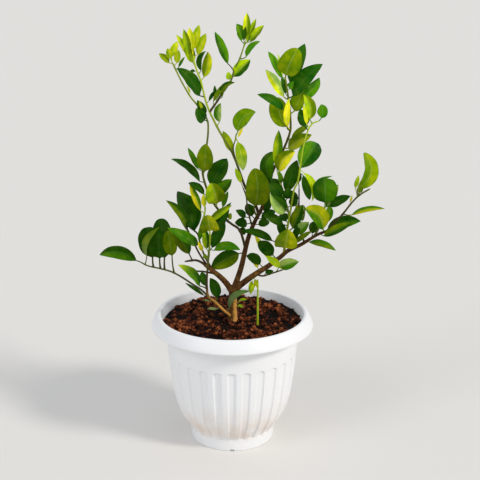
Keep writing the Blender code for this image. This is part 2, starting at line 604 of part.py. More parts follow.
for old in list(bpy.data.objects):
    bpy.data.objects.remove(old)
make_pot()
make_soil()
make_plant()
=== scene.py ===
"""A young lemon tree in a round, fluted white nursery pot, +Z up, its front towards -Y.

Pieces are sized in millimetres, which are made metres on the way into a mesh. The camera, the floor and
what a material reads are in metres.
"""

import json
import math
import random

import bpy
import numpy as np
from mathutils import Matrix, Vector

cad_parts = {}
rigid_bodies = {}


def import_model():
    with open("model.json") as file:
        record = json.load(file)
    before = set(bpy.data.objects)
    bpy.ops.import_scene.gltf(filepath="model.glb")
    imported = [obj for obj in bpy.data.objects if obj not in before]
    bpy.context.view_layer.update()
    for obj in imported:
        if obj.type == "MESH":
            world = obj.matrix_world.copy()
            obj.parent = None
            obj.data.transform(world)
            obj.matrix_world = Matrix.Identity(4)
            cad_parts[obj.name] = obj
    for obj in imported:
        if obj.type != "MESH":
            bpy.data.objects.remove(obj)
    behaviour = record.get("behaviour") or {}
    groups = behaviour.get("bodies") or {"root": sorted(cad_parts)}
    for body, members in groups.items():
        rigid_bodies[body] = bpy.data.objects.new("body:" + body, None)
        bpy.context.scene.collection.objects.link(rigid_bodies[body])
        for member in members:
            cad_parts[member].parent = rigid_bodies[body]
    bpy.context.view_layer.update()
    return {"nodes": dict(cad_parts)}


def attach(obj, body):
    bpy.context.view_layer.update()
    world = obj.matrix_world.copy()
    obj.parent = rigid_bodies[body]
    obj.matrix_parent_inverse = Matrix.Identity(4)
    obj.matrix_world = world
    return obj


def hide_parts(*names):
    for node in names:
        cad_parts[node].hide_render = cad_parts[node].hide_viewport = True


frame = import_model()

scene = bpy.context.scene

# ---------------------------------------------------------------------------------------------------
# Camera, floor and light. A plain pale floor that runs out of sight, a strong warm lamp to the right
# in front of the tree and a weaker, softer one to the left, under an even pale sky.

CAMERA_PLACE = (0.012, -1.7147, 0.870)
CAMERA_PITCH = 17.71
CAMERA_LENS = 88.97
FLOOR_SIZE = 60
FLOOR_COLOUR = (0.78, 0.76, 0.73)
FLOOR_ROUGHNESS = 0.9
SKY_COLOUR = (0.93, 0.96, 1.0)
SKY_STRENGTH = 0.64
LAMPS = (
    # name, height above the floor and turn from the front in degrees, softness, strength, colour
    ("side_lamp", 34, 60, 12, 1.55, (1.0, 0.95, 0.88)),
    ("front_lamp", 38, -50, 24, 0.5, (0.95, 0.98, 1.0)),
)


def new_piece(name, points, faces, edges=()):
    mesh = bpy.data.meshes.new(name)
    mesh.from_pydata(points, edges, faces)
    piece = bpy.data.objects.new(name, mesh)
    scene.collection.objects.link(piece)
    return piece


def new_finish(name):
    """A material, the tree of its nodes and the shader at its end."""
    finish = bpy.data.materials.new(name)
    finish.use_nodes = True
    return finish, finish.node_tree, finish.node_tree.nodes["Principled BSDF"]


lens = bpy.data.cameras.new("camera")
lens.lens = CAMERA_LENS
camera = bpy.data.objects.new("camera", lens)
camera.location = CAMERA_PLACE
camera.rotation_euler = (math.radians(90 - CAMERA_PITCH), 0, 0)
scene.collection.objects.link(camera)
scene.camera = camera
scene.view_settings.view_transform = "Standard"

for name, height, turn, softness, strength, colour in LAMPS:
    lamp = bpy.data.lights.new(name, "SUN")
    lamp.angle = math.radians(softness)
    lamp.energy = strength
    lamp.color = colour
    stand = bpy.data.objects.new(name, lamp)
    stand.rotation_euler = (math.radians(90 - height), 0, math.radians(turn))
    scene.collection.objects.link(stand)

scene.world = bpy.data.worlds.new("sky")
scene.world.use_nodes = True
sky = scene.world.node_tree.nodes["Background"]
sky.inputs["Color"].default_value = (*SKY_COLOUR, 1)
sky.inputs["Strength"].default_value = SKY_STRENGTH

edge = FLOOR_SIZE / 2
corners = [(-edge, -edge, 0), (edge, -edge, 0), (edge, edge, 0), (-edge, edge, 0)]
floor = new_piece("floor", corners, [(0, 1, 2, 3)])
floor_paint, _, shader = new_finish("floor_paint")
shader.inputs["Base Color"].default_value = (*FLOOR_COLOUR, 1)
shader.inputs["Roughness"].default_value = FLOOR_ROUGHNESS
floor.data.materials.append(floor_paint)


# ---------------------------------------------------------------------------------------------------
# Pot: one moulding in white plastic, with a foot ring, a body that swells out of it, 28 flutes pressed
# in round the body, a plain collar and a wide sloping rim. Its floor has drain holes, and the foot ring
# a small notch that lets the water out.

# Its outline, as (radius, height): from the middle of the floor's underside out, up and back to its top.
POT_FOOT = (
    (0, 6), (30, 6), (58, 6), (59.2, 5.4), (59.6, 0.7), (60.4, 0), (63.6, 0), (64.5, 0.8), (64.9, 6),
    (65.4, 13), (65.7, 18.6),
)
POT_BODY = (
    (66.2, 20.2), (69.6, 24.8), (73.3, 30.4), (77.4, 36.7), (81, 43), (84.3, 50.3), (87, 58), (91.5, 76),
    (95, 100), (97, 115), (98.5, 130), (101, 155), (102.4, 172), (103.3, 184),
)
POT_RIM = (
    (103.9, 185.4), (105.6, 185.9), (111, 185.5), (118, 185.1), (122.6, 184.9), (124.2, 185.3),
    (124.95, 186.6), (124.9, 188.2), (123.5, 192), (121.8, 195.6), (120, 199), (118.7, 201.5),
    (117.2, 203.6), (115.6, 205), (113.8, 205.6), (112, 205.2), (110.5, 204.2),
)
POT_INSIDE = (
    (110, 202.6), (108.4, 198), (106.2, 191.8), (103.4, 188), (101.7, 185.8), (100.9, 182), (97.8, 155),
    (95, 130), (91.5, 100), (87, 74), (83.5, 58), (77.4, 43), (69.5, 30), (64, 18), (61.6, 12), (59, 10.4),
    (56, 10),
)
POT_FLOOR = ((30, 10), (0, 10))
# The body's rows lie close together where the flutes end in their rounded tops.
BODY_ROWS = (
    *np.arange(20.2, 44, 2.4), *np.arange(44, 132, 5.5), *np.arange(134, 149, 0.9), 152, 160, 168, 176, 184,
)
POT_COLUMNS = 448

FLUTES = 28
FLUTE_SHARE = 0.52
FLUTE_DEPTH = 2.4
FLUTE_FOOT = 19.5
FLUTE_SPRING = 141
FLUTE_ARCH = 1.5
FLUTE_EDGE = 0.6
FLUTES_BELOW = 160
# Only the outer skin is pressed in, which looks outward by more than this cosine.
FACING_OUT = 0.2

DRAIN_HOLES = 5
DRAIN_CIRCLE = 38
DRAIN_RADIUS = 5
DRAIN_REACH = (2, 16)
DRAIN_SIDES = 24
NOTCH_WIDTH, NOTCH_DEPTH, NOTCH_HEIGHT = 6.5, 20, 2.5
NOTCH_MIDDLE = -62

PLASTIC_WHITE = (240, 241, 243)
PLASTIC_DUST_AND_REFLECTION = (228, 208, 190)
# The heights, in metres, over which the pot turns warmer above its foot and then less so: splashed soil dust,
# and a painted warm reflection of the ground.
DUST_AND_REFLECTION_FROM = (0.012, 0.03)
DUST_AND_REFLECTION_TO = (0.03, 0.1)


def paint(red, green, blue):
    """A colour as it is seen, 0 to 255, made the light values that a shader takes."""
    seen = np.array((red, green, blue)) / 255
    return (*np.where(seen <= 0.04045, seen / 12.92, ((seen + 0.055) / 1.055) ** 2.4), 1)


def feed(node, takes):
    """Gives a node's inputs what they take: a value, or what another node gives."""
    for key, value in takes.items() if isinstance(takes, dict) else enumerate(takes):
        if isinstance(value, Amount):
            node.id_data.links.new(value.socket, node.inputs[key])
        else:
            node.inputs[key].default_value = value


def place(tree, kind, takes=(), **settings):
    """A new node with its settings, fed with what its inputs take."""
    node = tree.nodes.new(kind)
    for name, value in settings.items():
        setattr(node, name, value)
    feed(node, takes)
    return node


def out_of(tree, kind, takes=(), output=0, **settings):
    """What a new node gives at one of its outputs."""
    return Amount(place(tree, kind, takes, **settings).outputs[output])


class Amount:
    """What a node gives, so that a sum on it reads as a sum."""

    def __init__(self, socket):
        self.socket, self.tree = socket, socket.id_data

    def worked(self, operation, *others):
        """This number, and the others after it, put through one operation of a Math node."""
        return out_of(self.tree, "ShaderNodeMath", (self, *others), operation=operation)

    def __add__(self, other):
        return self.worked("ADD", other)

    def __sub__(self, other):
        return self.worked("SUBTRACT", other)

    def __rsub__(self, other):
        return out_of(self.tree, "ShaderNodeMath", (other, self), operation="SUBTRACT")

    def __mul__(self, other):
        return self.worked("MULTIPLY", other)

    def __truediv__(self, other):
        return self.worked("DIVIDE", other)

    def __rtruediv__(self, other):
        return out_of(self.tree, "ShaderNodeMath", (other, self), operation="DIVIDE")

    def __pow__(self, other):
        return self.worked("POWER", other)

    def size(self):
        return self.worked("ABSOLUTE")

    def eased(self, low, high):
        """0 below low, 1 above high, and smooth between them."""
        takes = {"Value": self, "From Min": low, "From Max": high}
        return out_of(self.tree, "ShaderNodeMapRange", takes, interpolation_type="SMOOTHSTEP")

    def xyz(self):
        """The three numbers of a vector."""
        return [Amount(socket) for socket in place(self.tree, "ShaderNodeSeparateXYZ", (self,)).outputs]

    def vector(self, operation, *others):
        """This vector, and the others after it, put through one operation of a Vector Math node."""
        return out_of(self.tree, "ShaderNodeVectorMath", (self, *others), operation=operation)

    def scaled(self, times):
        """This vector, so many times as long."""
        return out_of(self.tree, "ShaderNodeVectorMath", {0: self, "Scale": times}, operation="SCALE")


def noise(where, scale, detail, output=0):
    """Numbers that wander about a half, about scale times in a metre."""
    takes = {"Vector": where, "Scale": scale, "Detail": detail}
    return out_of(where.tree, "ShaderNodeTexNoise", takes, output)


def blend(share, one, other):
    """A colour that goes from one to the other as the share goes from 0 to 1."""
    return out_of(share.tree, "ShaderNodeMix", {0: share, 6: one, 7: other}, 2, data_type="RGBA")


def raised(height, distance, strength):
    """The normal of a surface that the height raises by up to a distance, in metres."""
    takes = {"Height": height, "Distance": distance, "Strength": strength}
    return out_of(height.tree, "ShaderNodeBump", takes)


def new_tree(name, sizes):
    """A Geometry Nodes tree that takes a geometry, the named sizes and a material."""
    tree = bpy.data.node_groups.new(name, "GeometryNodeTree")
    tree.interface.new_socket("Geometry", in_out="OUTPUT", socket_type="NodeSocketGeometry")
    tree.interface.new_socket("Geometry", in_out="INPUT", socket_type="NodeSocketGeometry")
    for title, kind in {**sizes, "Material": "Material"}.items():
        tree.interface.new_socket(title, in_out="INPUT", socket_type="NodeSocket" + kind)
    return tree, {socket.name: Amount(socket) for socket in tree.nodes.new("NodeGroupInput").outputs}


def end_tree(tree, given, geometry):
    real = out_of(tree, "GeometryNodeRealizeInstances", {"Geometry": geometry})
    painted = out_of(tree, "GeometryNodeSetMaterial", {"Geometry": real, "Material": given["Material"]})
    place(tree, "NodeGroupOutput", {"Geometry": painted})


def run_tree(piece, tree, sizes):
    """Adds the tree to a piece as a modifier, with its sizes."""
    modifier = piece.modifiers.new(tree.name, "NODES")
    modifier.node_group = tree
    for socket in tree.interface.items_tree:
        if socket.in_out == "INPUT" and socket.name in sizes:
            modifier[socket.identifier] = sizes[socket.name]


def settle(piece, sharp):
    """Turns what the piece's modifiers make into its own plain mesh, and takes them off.

    An edge that turns by more than sharp degrees stays sharp.
    """
    bpy.context.view_layer.update()
    made = bpy.data.meshes.new_from_object(piece.evaluated_get(bpy.context.evaluated_depsgraph_get()))
    piece.modifiers.clear()
    piece.data = made
    made.shade_smooth()
    made.set_sharp_from_angle(angle=math.radians(sharp))


def hand_over(piece, slot, *nodes):
    """The piece rides on the one body and stands for these CAD nodes. The slot is not used."""
    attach(piece, "root")
    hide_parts(*nodes)


def turned(outline, columns):
    """Points and faces of an outline in (radius, height), in millimetres, turned round Z."""
    points, rows, faces = [], [], []
    for radius, height in outline:
        count = columns if radius > 0 else 1
        rows.append([len(points) + i % count for i in range(columns)])
        for i in range(count):
            turn = 2 * math.pi * i / columns
            points.append((radius * math.sin(turn) / 1000, -radius * math.cos(turn) / 1000, height / 1000))
    for low, high in zip(rows, rows[1:]):
        for i in range(columns):
            j = (i + 1) % columns
            face = dict.fromkeys((low[i], low[j], high[j], high[i]))
            faces.append(tuple(face))
    return points, faces


def through(points, steps):
    """A smooth curve through the given points, with so many steps from each to the next."""
    points = [Vector(p) for p in points]
    ends = [2 * points[0] - points[1], *points, 2 * points[-1] - points[-2]]
    curve = []
    for a, b, c, d in zip(ends, ends[1:], ends[2:], ends[3:]):
        for i in range(steps):
            t = i / steps
            bend = (2 * a - 5 * b + 4 * c - d) * t**2 + (3 * b - a - 3 * c + d) * t**3
            curve.append((2 * b + (c - a) * t + bend) / 2)
    return [*curve, points[-1]]


body_radii, body_heights = np.array(through(POT_BODY, steps=6)).T
body = [(float(np.interp(z, body_heights, body_radii)), z) for z in BODY_ROWS]
outline = [*POT_FOOT, *body, *through(POT_RIM, steps=2), *through(POT_INSIDE, steps=3), *POT_FLOOR]
pot = new_piece("pot_shell", *turned(outline, POT_COLUMNS))

flute_sizes = ("Flutes", "Share", "Depth", "Foot", "Spring", "Arch", "Edge", "Below")
flute_tree, given = new_tree("press_flutes", dict.fromkeys(flute_sizes, "Float"))
where = out_of(flute_tree, "GeometryNodeInputPosition")
x, y, z = where.xyz()
radius = (x * x + y * y) ** 0.5
pitch = 2 * math.pi / given["Flutes"]
turn = x.worked("ARCTAN2", y * -1)
off_centre = (turn - (turn / pitch).worked("ROUND") * pitch) * radius
half_flute = radius * pitch * given["Share"] / 2
above = (z - given["Spring"]).worked("MAXIMUM", 0) * given["Arch"]
outside_flute = (off_centre * off_centre + above * above) ** 0.5 - half_flute
depth = (outside_flute * -1).eased(given["Edge"] * -1, given["Edge"]) * given["Depth"]
on_body = z.worked("GREATER_THAN", given["Foot"]) * z.worked("LESS_THAN", given["Below"])
outward = where.vector("MULTIPLY", (1, 1, 0)).vector("NORMALIZE")
facing = out_of(
    flute_tree, "ShaderNodeVectorMath",
    {0: outward, 1: out_of(flute_tree, "GeometryNodeInputNormal")}, "Value", operation="DOT_PRODUCT",
)
push = outward.scaled(depth * on_body * facing.worked("GREATER_THAN", FACING_OUT) * -1)
pressed = out_of(flute_tree, "GeometryNodeSetPosition", {"Geometry": given["Geometry"], "Offset": push})
end_tree(flute_tree, given, pressed)

# White plastic that is scuffed in upright streaks, and warm in blotches just above its foot: dusty with
# splashed soil and painted with a warm reflection of the ground.
white_plastic, tree, shader = new_finish("white_plastic")
where = out_of(tree, "ShaderNodeTexCoord", output="Object")
_, _, height = where.xyz()
blotch = noise(where, scale=34, detail=6)
grain = noise(where, scale=900, detail=3)
streaks = out_of(tree, "ShaderNodeMapping", {"Vector": where, "Scale": (220, 220, 9)})
scuff = noise(streaks, scale=1, detail=4)
# Painted warm reflection of the ground, mixed with splashed dust, in blotches just above the foot; the
# upright streaks are scuffs.
dust_and_reflection_band = height.eased(*DUST_AND_REFLECTION_FROM) * (1 - height.eased(*DUST_AND_REFLECTION_TO))
scuff_dust_and_reflection = dust_and_reflection_band * blotch.eased(0.25, 0.7) * 0.65 + scuff.eased(0.62, 0.8) * 0.1
feed(shader, {
    "Base Color": blend(scuff_dust_and_reflection, paint(*PLASTIC_WHITE), paint(*PLASTIC_DUST_AND_REFLECTION)),
    "Roughness": scuff * 0.16 + scuff_dust_and_reflection * 0.5 + 0.3,
    "Normal": raised(grain * 0.6 + blotch * 0.4, distance=0.0004, strength=0.22),
})

run_tree(pot, flute_tree, {
    "Flutes": float(FLUTES), "Share": FLUTE_SHARE, "Depth": FLUTE_DEPTH / 1000, "Edge": FLUTE_EDGE / 1000,
    "Foot": FLUTE_FOOT / 1000, "Spring": FLUTE_SPRING / 1000, "Arch": FLUTE_ARCH,
    "Below": FLUTES_BELOW / 1000, "Material": white_plastic,
})
cutters = bpy.data.collections.new("pot_cutters")
scene.collection.children.link(cutters)
drill_low, drill_high = DRAIN_REACH
for i in range(DRAIN_HOLES):
    turn = 2 * math.pi * (i + 0.5) / DRAIN_HOLES
    drill_side = ((0, drill_low), (DRAIN_RADIUS, drill_low), (DRAIN_RADIUS, drill_high), (0, drill_high))
    drill = new_piece("drill", *turned(drill_side, DRAIN_SIDES))
    hole = Vector((math.cos(turn), math.sin(turn), 0)) * (DRAIN_CIRCLE / 1000)
    drill.data.transform(Matrix.Translation(hole))
    cutters.objects.link(drill)
corners = [
    (sx * NOTCH_WIDTH / 2000, (NOTCH_MIDDLE + sy * NOTCH_DEPTH / 2) / 1000, sz * NOTCH_HEIGHT / 1000)
    for sx in (-1, 1) for sy in (-1, 1) for sz in (-1, 1)
]
sides = ((0, 1, 3, 2), (4, 6, 7, 5), (0, 4, 5, 1), (2, 3, 7, 6), (0, 2, 6, 4), (1, 5, 7, 3))
cutters.objects.link(new_piece("notch_cutter", corners, sides))
cut = pot.modifiers.new("cut", "BOOLEAN")
cut.operand_type = "COLLECTION"
cut.collection = cutters
cut.solver = "MANIFOLD"
settle(pot, sharp=35)
for cutter in list(cutters.objects):
    bpy.data.objects.remove(cutter)
bpy.data.collections.remove(cutters)
hand_over(pot, "white_plastic", "pot")


# ---------------------------------------------------------------------------------------------------
# Soil: dark, reddish, crumbly potting mix, poured in round the roots to just under the rim and left
# loose. Its top is lumpy, and loose crumbs lie on its lumps.

SOIL_TOP = 194.5
SOIL_OUTLINE = (
    (0, 10.4), (55, 10.4), (61, 13), (68.8, 30), (82.8, 58), (90.8, 100), (94.3, 130), (100.2, 182),
    (101, 186), (103, 188.9), (105.2, 191.9),
)
SOIL_COLUMNS = 210
SOIL_RINGS = 66
# Below 1, this draws the rings of the top closer together towards its edge.
SOIL_RING_DRAW = 0.85
LUMP_SIZE = 11
LUMP_HEIGHT = 6.5
CRUMBS = (
    # name, how many on level ground, radius of the least and the largest, how finely each is faced
    ("Big crumbs", 1400, 1.5, 3.6, 2),
    ("Fine crumbs", 4200, 0.7, 1.8, 1),
)
CRUMB_SQUATNESS = ((0.7, 0.7, 0.5), (1.3, 1.2, 0.95))
CRUMB_KNOCK = 3.4
CRUMB_SEED = 4
# The height, in metres, over which the soil turns lighter at its top: painted shade in the hollows between
# the lumps and painted light on their tops.
SOIL_LIT = (SOIL_TOP / 1000 - 0.003, SOIL_TOP / 1000 + 0.004)
SOIL_SHADES = ((0.2, (10, 5, 3)), (0.5, (80, 35, 18)), (0.85, (158, 90, 50)))


def shaded(amount, shades):
    """The colour that an amount picks from the shades, which are (amount, colour) from dark to light."""
    node = place(amount.tree, "ShaderNodeValToRGB", {"Fac": amount})
    stops = node.color_ramp.elements
    for position, colour in shades:
        stops.new(position).color = paint(*colour)
    stops.remove(stops[-1])
    stops.remove(stops[0])
    return Amount(node.outputs[0])


potting_soil, tree, shader = new_finish("potting_soil")
where = out_of(tree, "ShaderNodeTexCoord", output="Object")
_, _, height = where.xyz()
crumb_shade = out_of(tree, "ShaderNodeAttribute", output="Fac", attribute_name="crumb_shade")
mottle = noise(where, scale=120, detail=8)
speck = noise(where, scale=420, detail=5)
# The lump tops are painted lighter and the hollows darker: painted light and shade.
light = mottle + speck * 1.1 + crumb_shade * 0.3 + height.eased(*SOIL_LIT) * 0.4 - 1.0
feed(shader, {
    "Base Color": shaded(light, SOIL_SHADES),
    "Roughness": mottle * 0.2 + 0.75,
    "Specular IOR Level": 0.1,
    "Normal": raised(mottle + speck * 0.7, distance=0.0015, strength=0.8),
})

edge_radius = SOIL_OUTLINE[-1][0]
rings = [(edge_radius * (1 - i / SOIL_RINGS) ** SOIL_RING_DRAW, SOIL_TOP) for i in range(1, SOIL_RINGS)]
soil = new_piece("soil_bed", *turned([*SOIL_OUTLINE, *rings, (0, SOIL_TOP)], SOIL_COLUMNS))

soil_sizes = ("Top", "Lump size", "Lump height", *(crumb[0] for crumb in CRUMBS))
soil_tree, given = new_tree("crumble_soil", {**dict.fromkeys(soil_sizes, "Float"), "Seed": "Int"})
where = out_of(soil_tree, "GeometryNodeInputPosition")
_, _, height = where.xyz()
on_top = height.worked("GREATER_THAN", given["Top"])
lump_scale = 1 / given["Lump size"]
lumps = out_of(
    soil_tree, "ShaderNodeTexVoronoi", {"Vector": where, "Scale": lump_scale}, feature="SMOOTH_F1"
)
nuggets = out_of(
    soil_tree, "ShaderNodeTexVoronoi", {"Vector": where, "Scale": lump_scale * 2.6}, feature="F1"
)
rise = (0.42 - lumps) + (0.4 - nuggets) * 0.42
rise += (noise(where, scale=lump_scale * 3, detail=5) - 0.5) * 0.5
rise += (noise(where, scale=16, detail=2) - 0.5) * 1.2
lift = out_of(soil_tree, "ShaderNodeCombineXYZ", {"Z": rise * given["Lump height"]})
ground = out_of(
    soil_tree, "GeometryNodeSetPosition",
    {"Geometry": given["Geometry"], "Selection": on_top, "Offset": lift},
)

# Crumbs of both sizes, scattered where the ground is lumped up above its level, about half of it, then
# turned and squashed at random and knocked out of round.
crumbs = place(soil_tree, "GeometryNodeJoinGeometry")
for number, (title, _, least, largest, detail) in enumerate(CRUMBS):
    spots = out_of(
        soil_tree, "GeometryNodeDistributePointsOnFaces",
        {"Mesh": ground, "Selection": on_top, "Density": given[title], "Seed": given["Seed"]},
    )
    ball = out_of(soil_tree, "GeometryNodeMeshIcoSphere", {"Radius": 1.0, "Subdivisions": detail})
    size = out_of(
        soil_tree, "FunctionNodeRandomValue", {2: least / 1000, 3: largest / 1000, "Seed": number + 5}, 1
    )
    turn = out_of(
        soil_tree, "FunctionNodeRandomValue",
        {0: (0, 0, 0), 1: (6.3, 6.3, 6.3), "Seed": number + 7}, data_type="FLOAT_VECTOR",
    )
    squat = out_of(
        soil_tree, "FunctionNodeRandomValue",
        {0: CRUMB_SQUATNESS[0], 1: CRUMB_SQUATNESS[1], "Seed": number + 9}, data_type="FLOAT_VECTOR",
    )
    laid = out_of(
        soil_tree, "GeometryNodeInstanceOnPoints",
        {"Points": spots, "Instance": ball, "Rotation": turn, "Scale": squat.scaled(size)},
    )
    crumb_shade = out_of(soil_tree, "FunctionNodeRandomValue", {2: 0.0, 3: 1.0, "Seed": number + 11}, 1)
    laid = out_of(
        soil_tree, "GeometryNodeStoreNamedAttribute",
        {"Geometry": laid, "Name": "crumb_shade", "Value": crumb_shade},
        data_type="FLOAT", domain="INSTANCE",
    )
    feed(crumbs, (out_of(soil_tree, "GeometryNodeRealizeInstances", {"Geometry": laid}),))
knock = noise(where, scale=420, detail=2, output=1).vector("SUBTRACT", (0.5, 0.5, 0.5))
knock = knock.scaled(CRUMB_KNOCK / 1000)
crumbs = out_of(
    soil_tree, "GeometryNodeSetPosition", {"Geometry": Amount(crumbs.outputs[0]), "Offset": knock}
)
both = place(soil_tree, "GeometryNodeJoinGeometry")
feed(both, (ground,))
feed(both, (crumbs,))
end_tree(soil_tree, given, Amount(both.outputs[0]))

top_area = math.pi * (edge_radius / 1000) ** 2
run_tree(soil, soil_tree, {
    "Top": (SOIL_TOP - 0.2) / 1000, "Lump size": LUMP_SIZE / 1000, "Lump height": LUMP_HEIGHT / 1000,
    **{title: count / top_area for title, count, *_ in CRUMBS}, "Seed": CRUMB_SEED, "Material": potting_soil,
})
settle(soil, sharp=60)
hand_over(soil, "potting_soil", "soil")


# ---------------------------------------------------------------------------------------------------
# Trunk and main limbs: the grafted lemon's wood, grown as one piece, with brown, finely fissured bark.
# Three limbs leave the trunk low down, one to the left, one up the middle and a stout one to the right.

TRUNK = ((1, -9, 172), (1, -9, 192), (1, -9, 219), (1, -8, 246))
TRUNK_THICK, TRUNK_THIN = 14.6, 12
# name: (parent, share along it, root diameter, tip diameter, points of the route)
LIMBS = {
    "limb_left": (
        "trunk", 0.93, 10, 6.6,
        [(-9, -11, 257), (-18, -14, 268), (-29, -18, 279), (-41, -22, 291)],
    ),
    "limb_centre": (
        "trunk", 0.95, 9.4, 4.6,
        [(6, -6, 256), (14, -2, 280), (21, 4, 310), (27, 8, 331), (36, 12, 351), (45, 16, 368),
         (54, 20, 396), (57, 24, 412)],
    ),
    "limb_right": (
        "trunk", 0.92, 10.4, 4,
        [(12, -10, 253), (33, -20, 273), (54, -28, 290), (72, -36, 307), (83, -42, 319),
         (103, -50, 332), (125, -58, 349), (139, -62, 356)],
    ),
}
# How much thicker the trunk is at its foot, how high up that is, and over what height it fades.
TRUNK_FLARE, FLARE_HEIGHT, FLARE_REACH = 0.22, 190, 9
# How much thicker a limb is at its root, and over what length that fades.
LIMB_COLLAR, COLLAR_REACH = 0.12, 8
TRUNK_SIDES = 16
# The limbs are merged with the trunk on a grid of this pitch, in metres.
MERGING_GRID = 0.0008
BARK_SHADES = ((0.3, (40, 26, 12)), (0.5, (92, 59, 28)), (0.72, (148, 106, 42)), (0.92, (212, 154, 78)))
# In metres: the heights over which the painted light on the sunny right side of the trunk's foot ends, the
# way to the right over which it comes in, and the heights over which the crown's painted shade comes in.
LIT_SIDE_HEIGHTS = (0.218, 0.25)
LIT_SIDE_WAY = (-0.001, 0.005)
SHADED_HEIGHTS = (0.27, 0.36)
# How many radians of ripple a blade has from root to tip, and how far it runs ahead towards the margin.
RIPPLES = 17
RIPPLE_SLANT = 1.7
# The tones of a blade's two halves, which paint one half lit and the other shaded where they differ, meet
# over this share of its half width.
TONES_MEET = 0.12


class Stem:
    """A tapered stem along a smooth route, in millimetres."""

    def __init__(self, route, thick, thin):
        self.route = through(route, steps=5)
        self.thick, self.thin = thick / 2, thin / 2
        steps = [(b - a).length for a, b in zip(self.route, self.route[1:])]
        self.reached = np.concatenate([[0], np.cumsum(steps)])
        self.length = float(self.reached[-1])

    def radius(self, share):
        return self.thick + (self.thin - self.thick) * share

    def at(self, share):
        """(point, direction, radius) at a share of the length."""
        wanted = share * self.length
        i = min(int(np.searchsorted(self.reached, wanted, side="right")) - 1, len(self.route) - 2)
        low, high = self.reached[i], self.reached[i + 1]
        point = self.route[i].lerp(self.route[i + 1], float((wanted - low) / (high - low)))
        direction = (self.route[i + 1] - self.route[i]).normalized()
        return point, direction, self.radius(share)


class Rails:
    """The paths that a skin is laid over, and what it needs to know at each point of them.

    Half is (half width, half thickness, 0 on a stalk or 1 on a blade), in millimetres; left and right are
    the colours of the two halves; along is 0 at a blade's root and 1 at its tip; wave sets off its ripple.
    """

    KINDS = {"across": "FLOAT_VECTOR", "upright": "FLOAT_VECTOR", "half": "FLOAT_VECTOR",
             "left": "FLOAT_COLOR", "right": "FLOAT_COLOR", "along": "FLOAT", "wave": "FLOAT"}
    FIELDS = {"FLOAT": "value", "FLOAT_VECTOR": "vector", "FLOAT_COLOR": "color"}
    BARE = (0, 0, 0, 1)

    def __init__(self):
        self.points, self.edges = [], []
        self.values = {key: [] for key in self.KINDS}

    def add(self, points, across, upright, half, left=None, right=None, along=None, wave=0.0):
        start, count = len(self.points), len(points)
        self.points += [point / 1000 for point in points]
        self.edges += [(start + i, start + i + 1) for i in range(count - 1)]
        half = [(width / 1000, thickness / 1000, fold) for width, thickness, fold in half]
        bare = [self.BARE] * count
        along = along or [i / (count - 1) for i in range(count)]
        columns = (across, upright, half, left or bare, right or bare, along, [wave] * count)
        for values, column in zip(self.values.values(), columns):
            values += column

    def piece(self, name):
        rails = new_piece(name, self.points, [], self.edges)
        for key, kind in self.KINDS.items():
            made = rails.data.attributes.new(key, kind, "POINT")
            made.data.foreach_set(self.FIELDS[kind], np.array(self.values[key], np.float32).ravel())
        return rails


def frames(points, across):
    """The directions across and upright at each point of a path, turned as little as possible."""
    all_across, all_upright = [], []
    for i in range(len(points)):
        direction = (points[min(i + 1, len(points) - 1)] - points[max(i - 1, 0)]).normalized()
        across = (across - direction * across.dot(direction)).normalized()
        all_across.append(across)
        all_upright.append(across.cross(direction))
    return all_across, all_upright


def named(tree, name, kind="FLOAT"):
    """What is kept on the points under a name."""
    return out_of(tree, "GeometryNodeInputNamedAttribute", {"Name": name}, data_type=kind)


def keep(geometry, name, value, kind="FLOAT"):
    """Keeps a value on the points under a name."""
    takes = {"Geometry": geometry, "Name": name, "Value": value}
    return out_of(geometry.tree, "GeometryNodeStoreNamedAttribute", takes, data_type=kind)


# A skin over every rail: a ring of points round it, as wide and as thick as the rail says there. On a blade
# the halves fold up from the midrib by Fold, and the margin waves by Wave.
skin_tree, given = new_tree("skin_over_rails", {"Sides": "Int", "Fold": "Float", "Wave": "Float"})
where = out_of(skin_tree, "GeometryNodeInputPosition")
rail = out_of(skin_tree, "GeometryNodeMeshToCurve", {"Mesh": given["Geometry"]})
rail = keep(rail, "middle", where, "FLOAT_VECTOR")
ring = out_of(skin_tree, "GeometryNodeCurvePrimitiveCircle", {"Resolution": given["Sides"], "Radius": 1.0})
ring_x, ring_y, _ = where.xyz()
ring = keep(keep(ring, "ring_x", ring_x), "ring_y", ring_y)
swept = out_of(
    skin_tree, "GeometryNodeCurveToMesh", {"Curve": rail, "Profile Curve": ring, "Fill Caps": True}
)
ring_x, ring_y = named(skin_tree, "ring_x"), named(skin_tree, "ring_y")
half_width, half_thick, blade = named(skin_tree, "half", "FLOAT_VECTOR").xyz()
fold = ring_x.size() * half_width * given["Fold"] * blade
ripple = named(skin_tree, "along") * RIPPLES + named(skin_tree, "wave") + ring_x * RIPPLE_SLANT
ripple = ripple.worked("SINE") * ring_x * ring_x * half_width * given["Wave"] * blade
sideways = named(skin_tree, "across", "FLOAT_VECTOR").scaled(ring_x * half_width)
up = named(skin_tree, "upright", "FLOAT_VECTOR").scaled(ring_y * half_thick + fold + ripple)
spot = named(skin_tree, "middle", "FLOAT_VECTOR").vector("ADD", sideways.vector("ADD", up))
skin = out_of(skin_tree, "GeometryNodeSetPosition", {"Geometry": swept, "Position": spot})
halves = (named(skin_tree, "left", "FLOAT_COLOR"), named(skin_tree, "right", "FLOAT_COLOR"))
skin = keep(skin, "tint", blend(ring_x.eased(-TONES_MEET, TONES_MEET), *halves), "FLOAT_COLOR")
end_tree(skin_tree, given, skin)

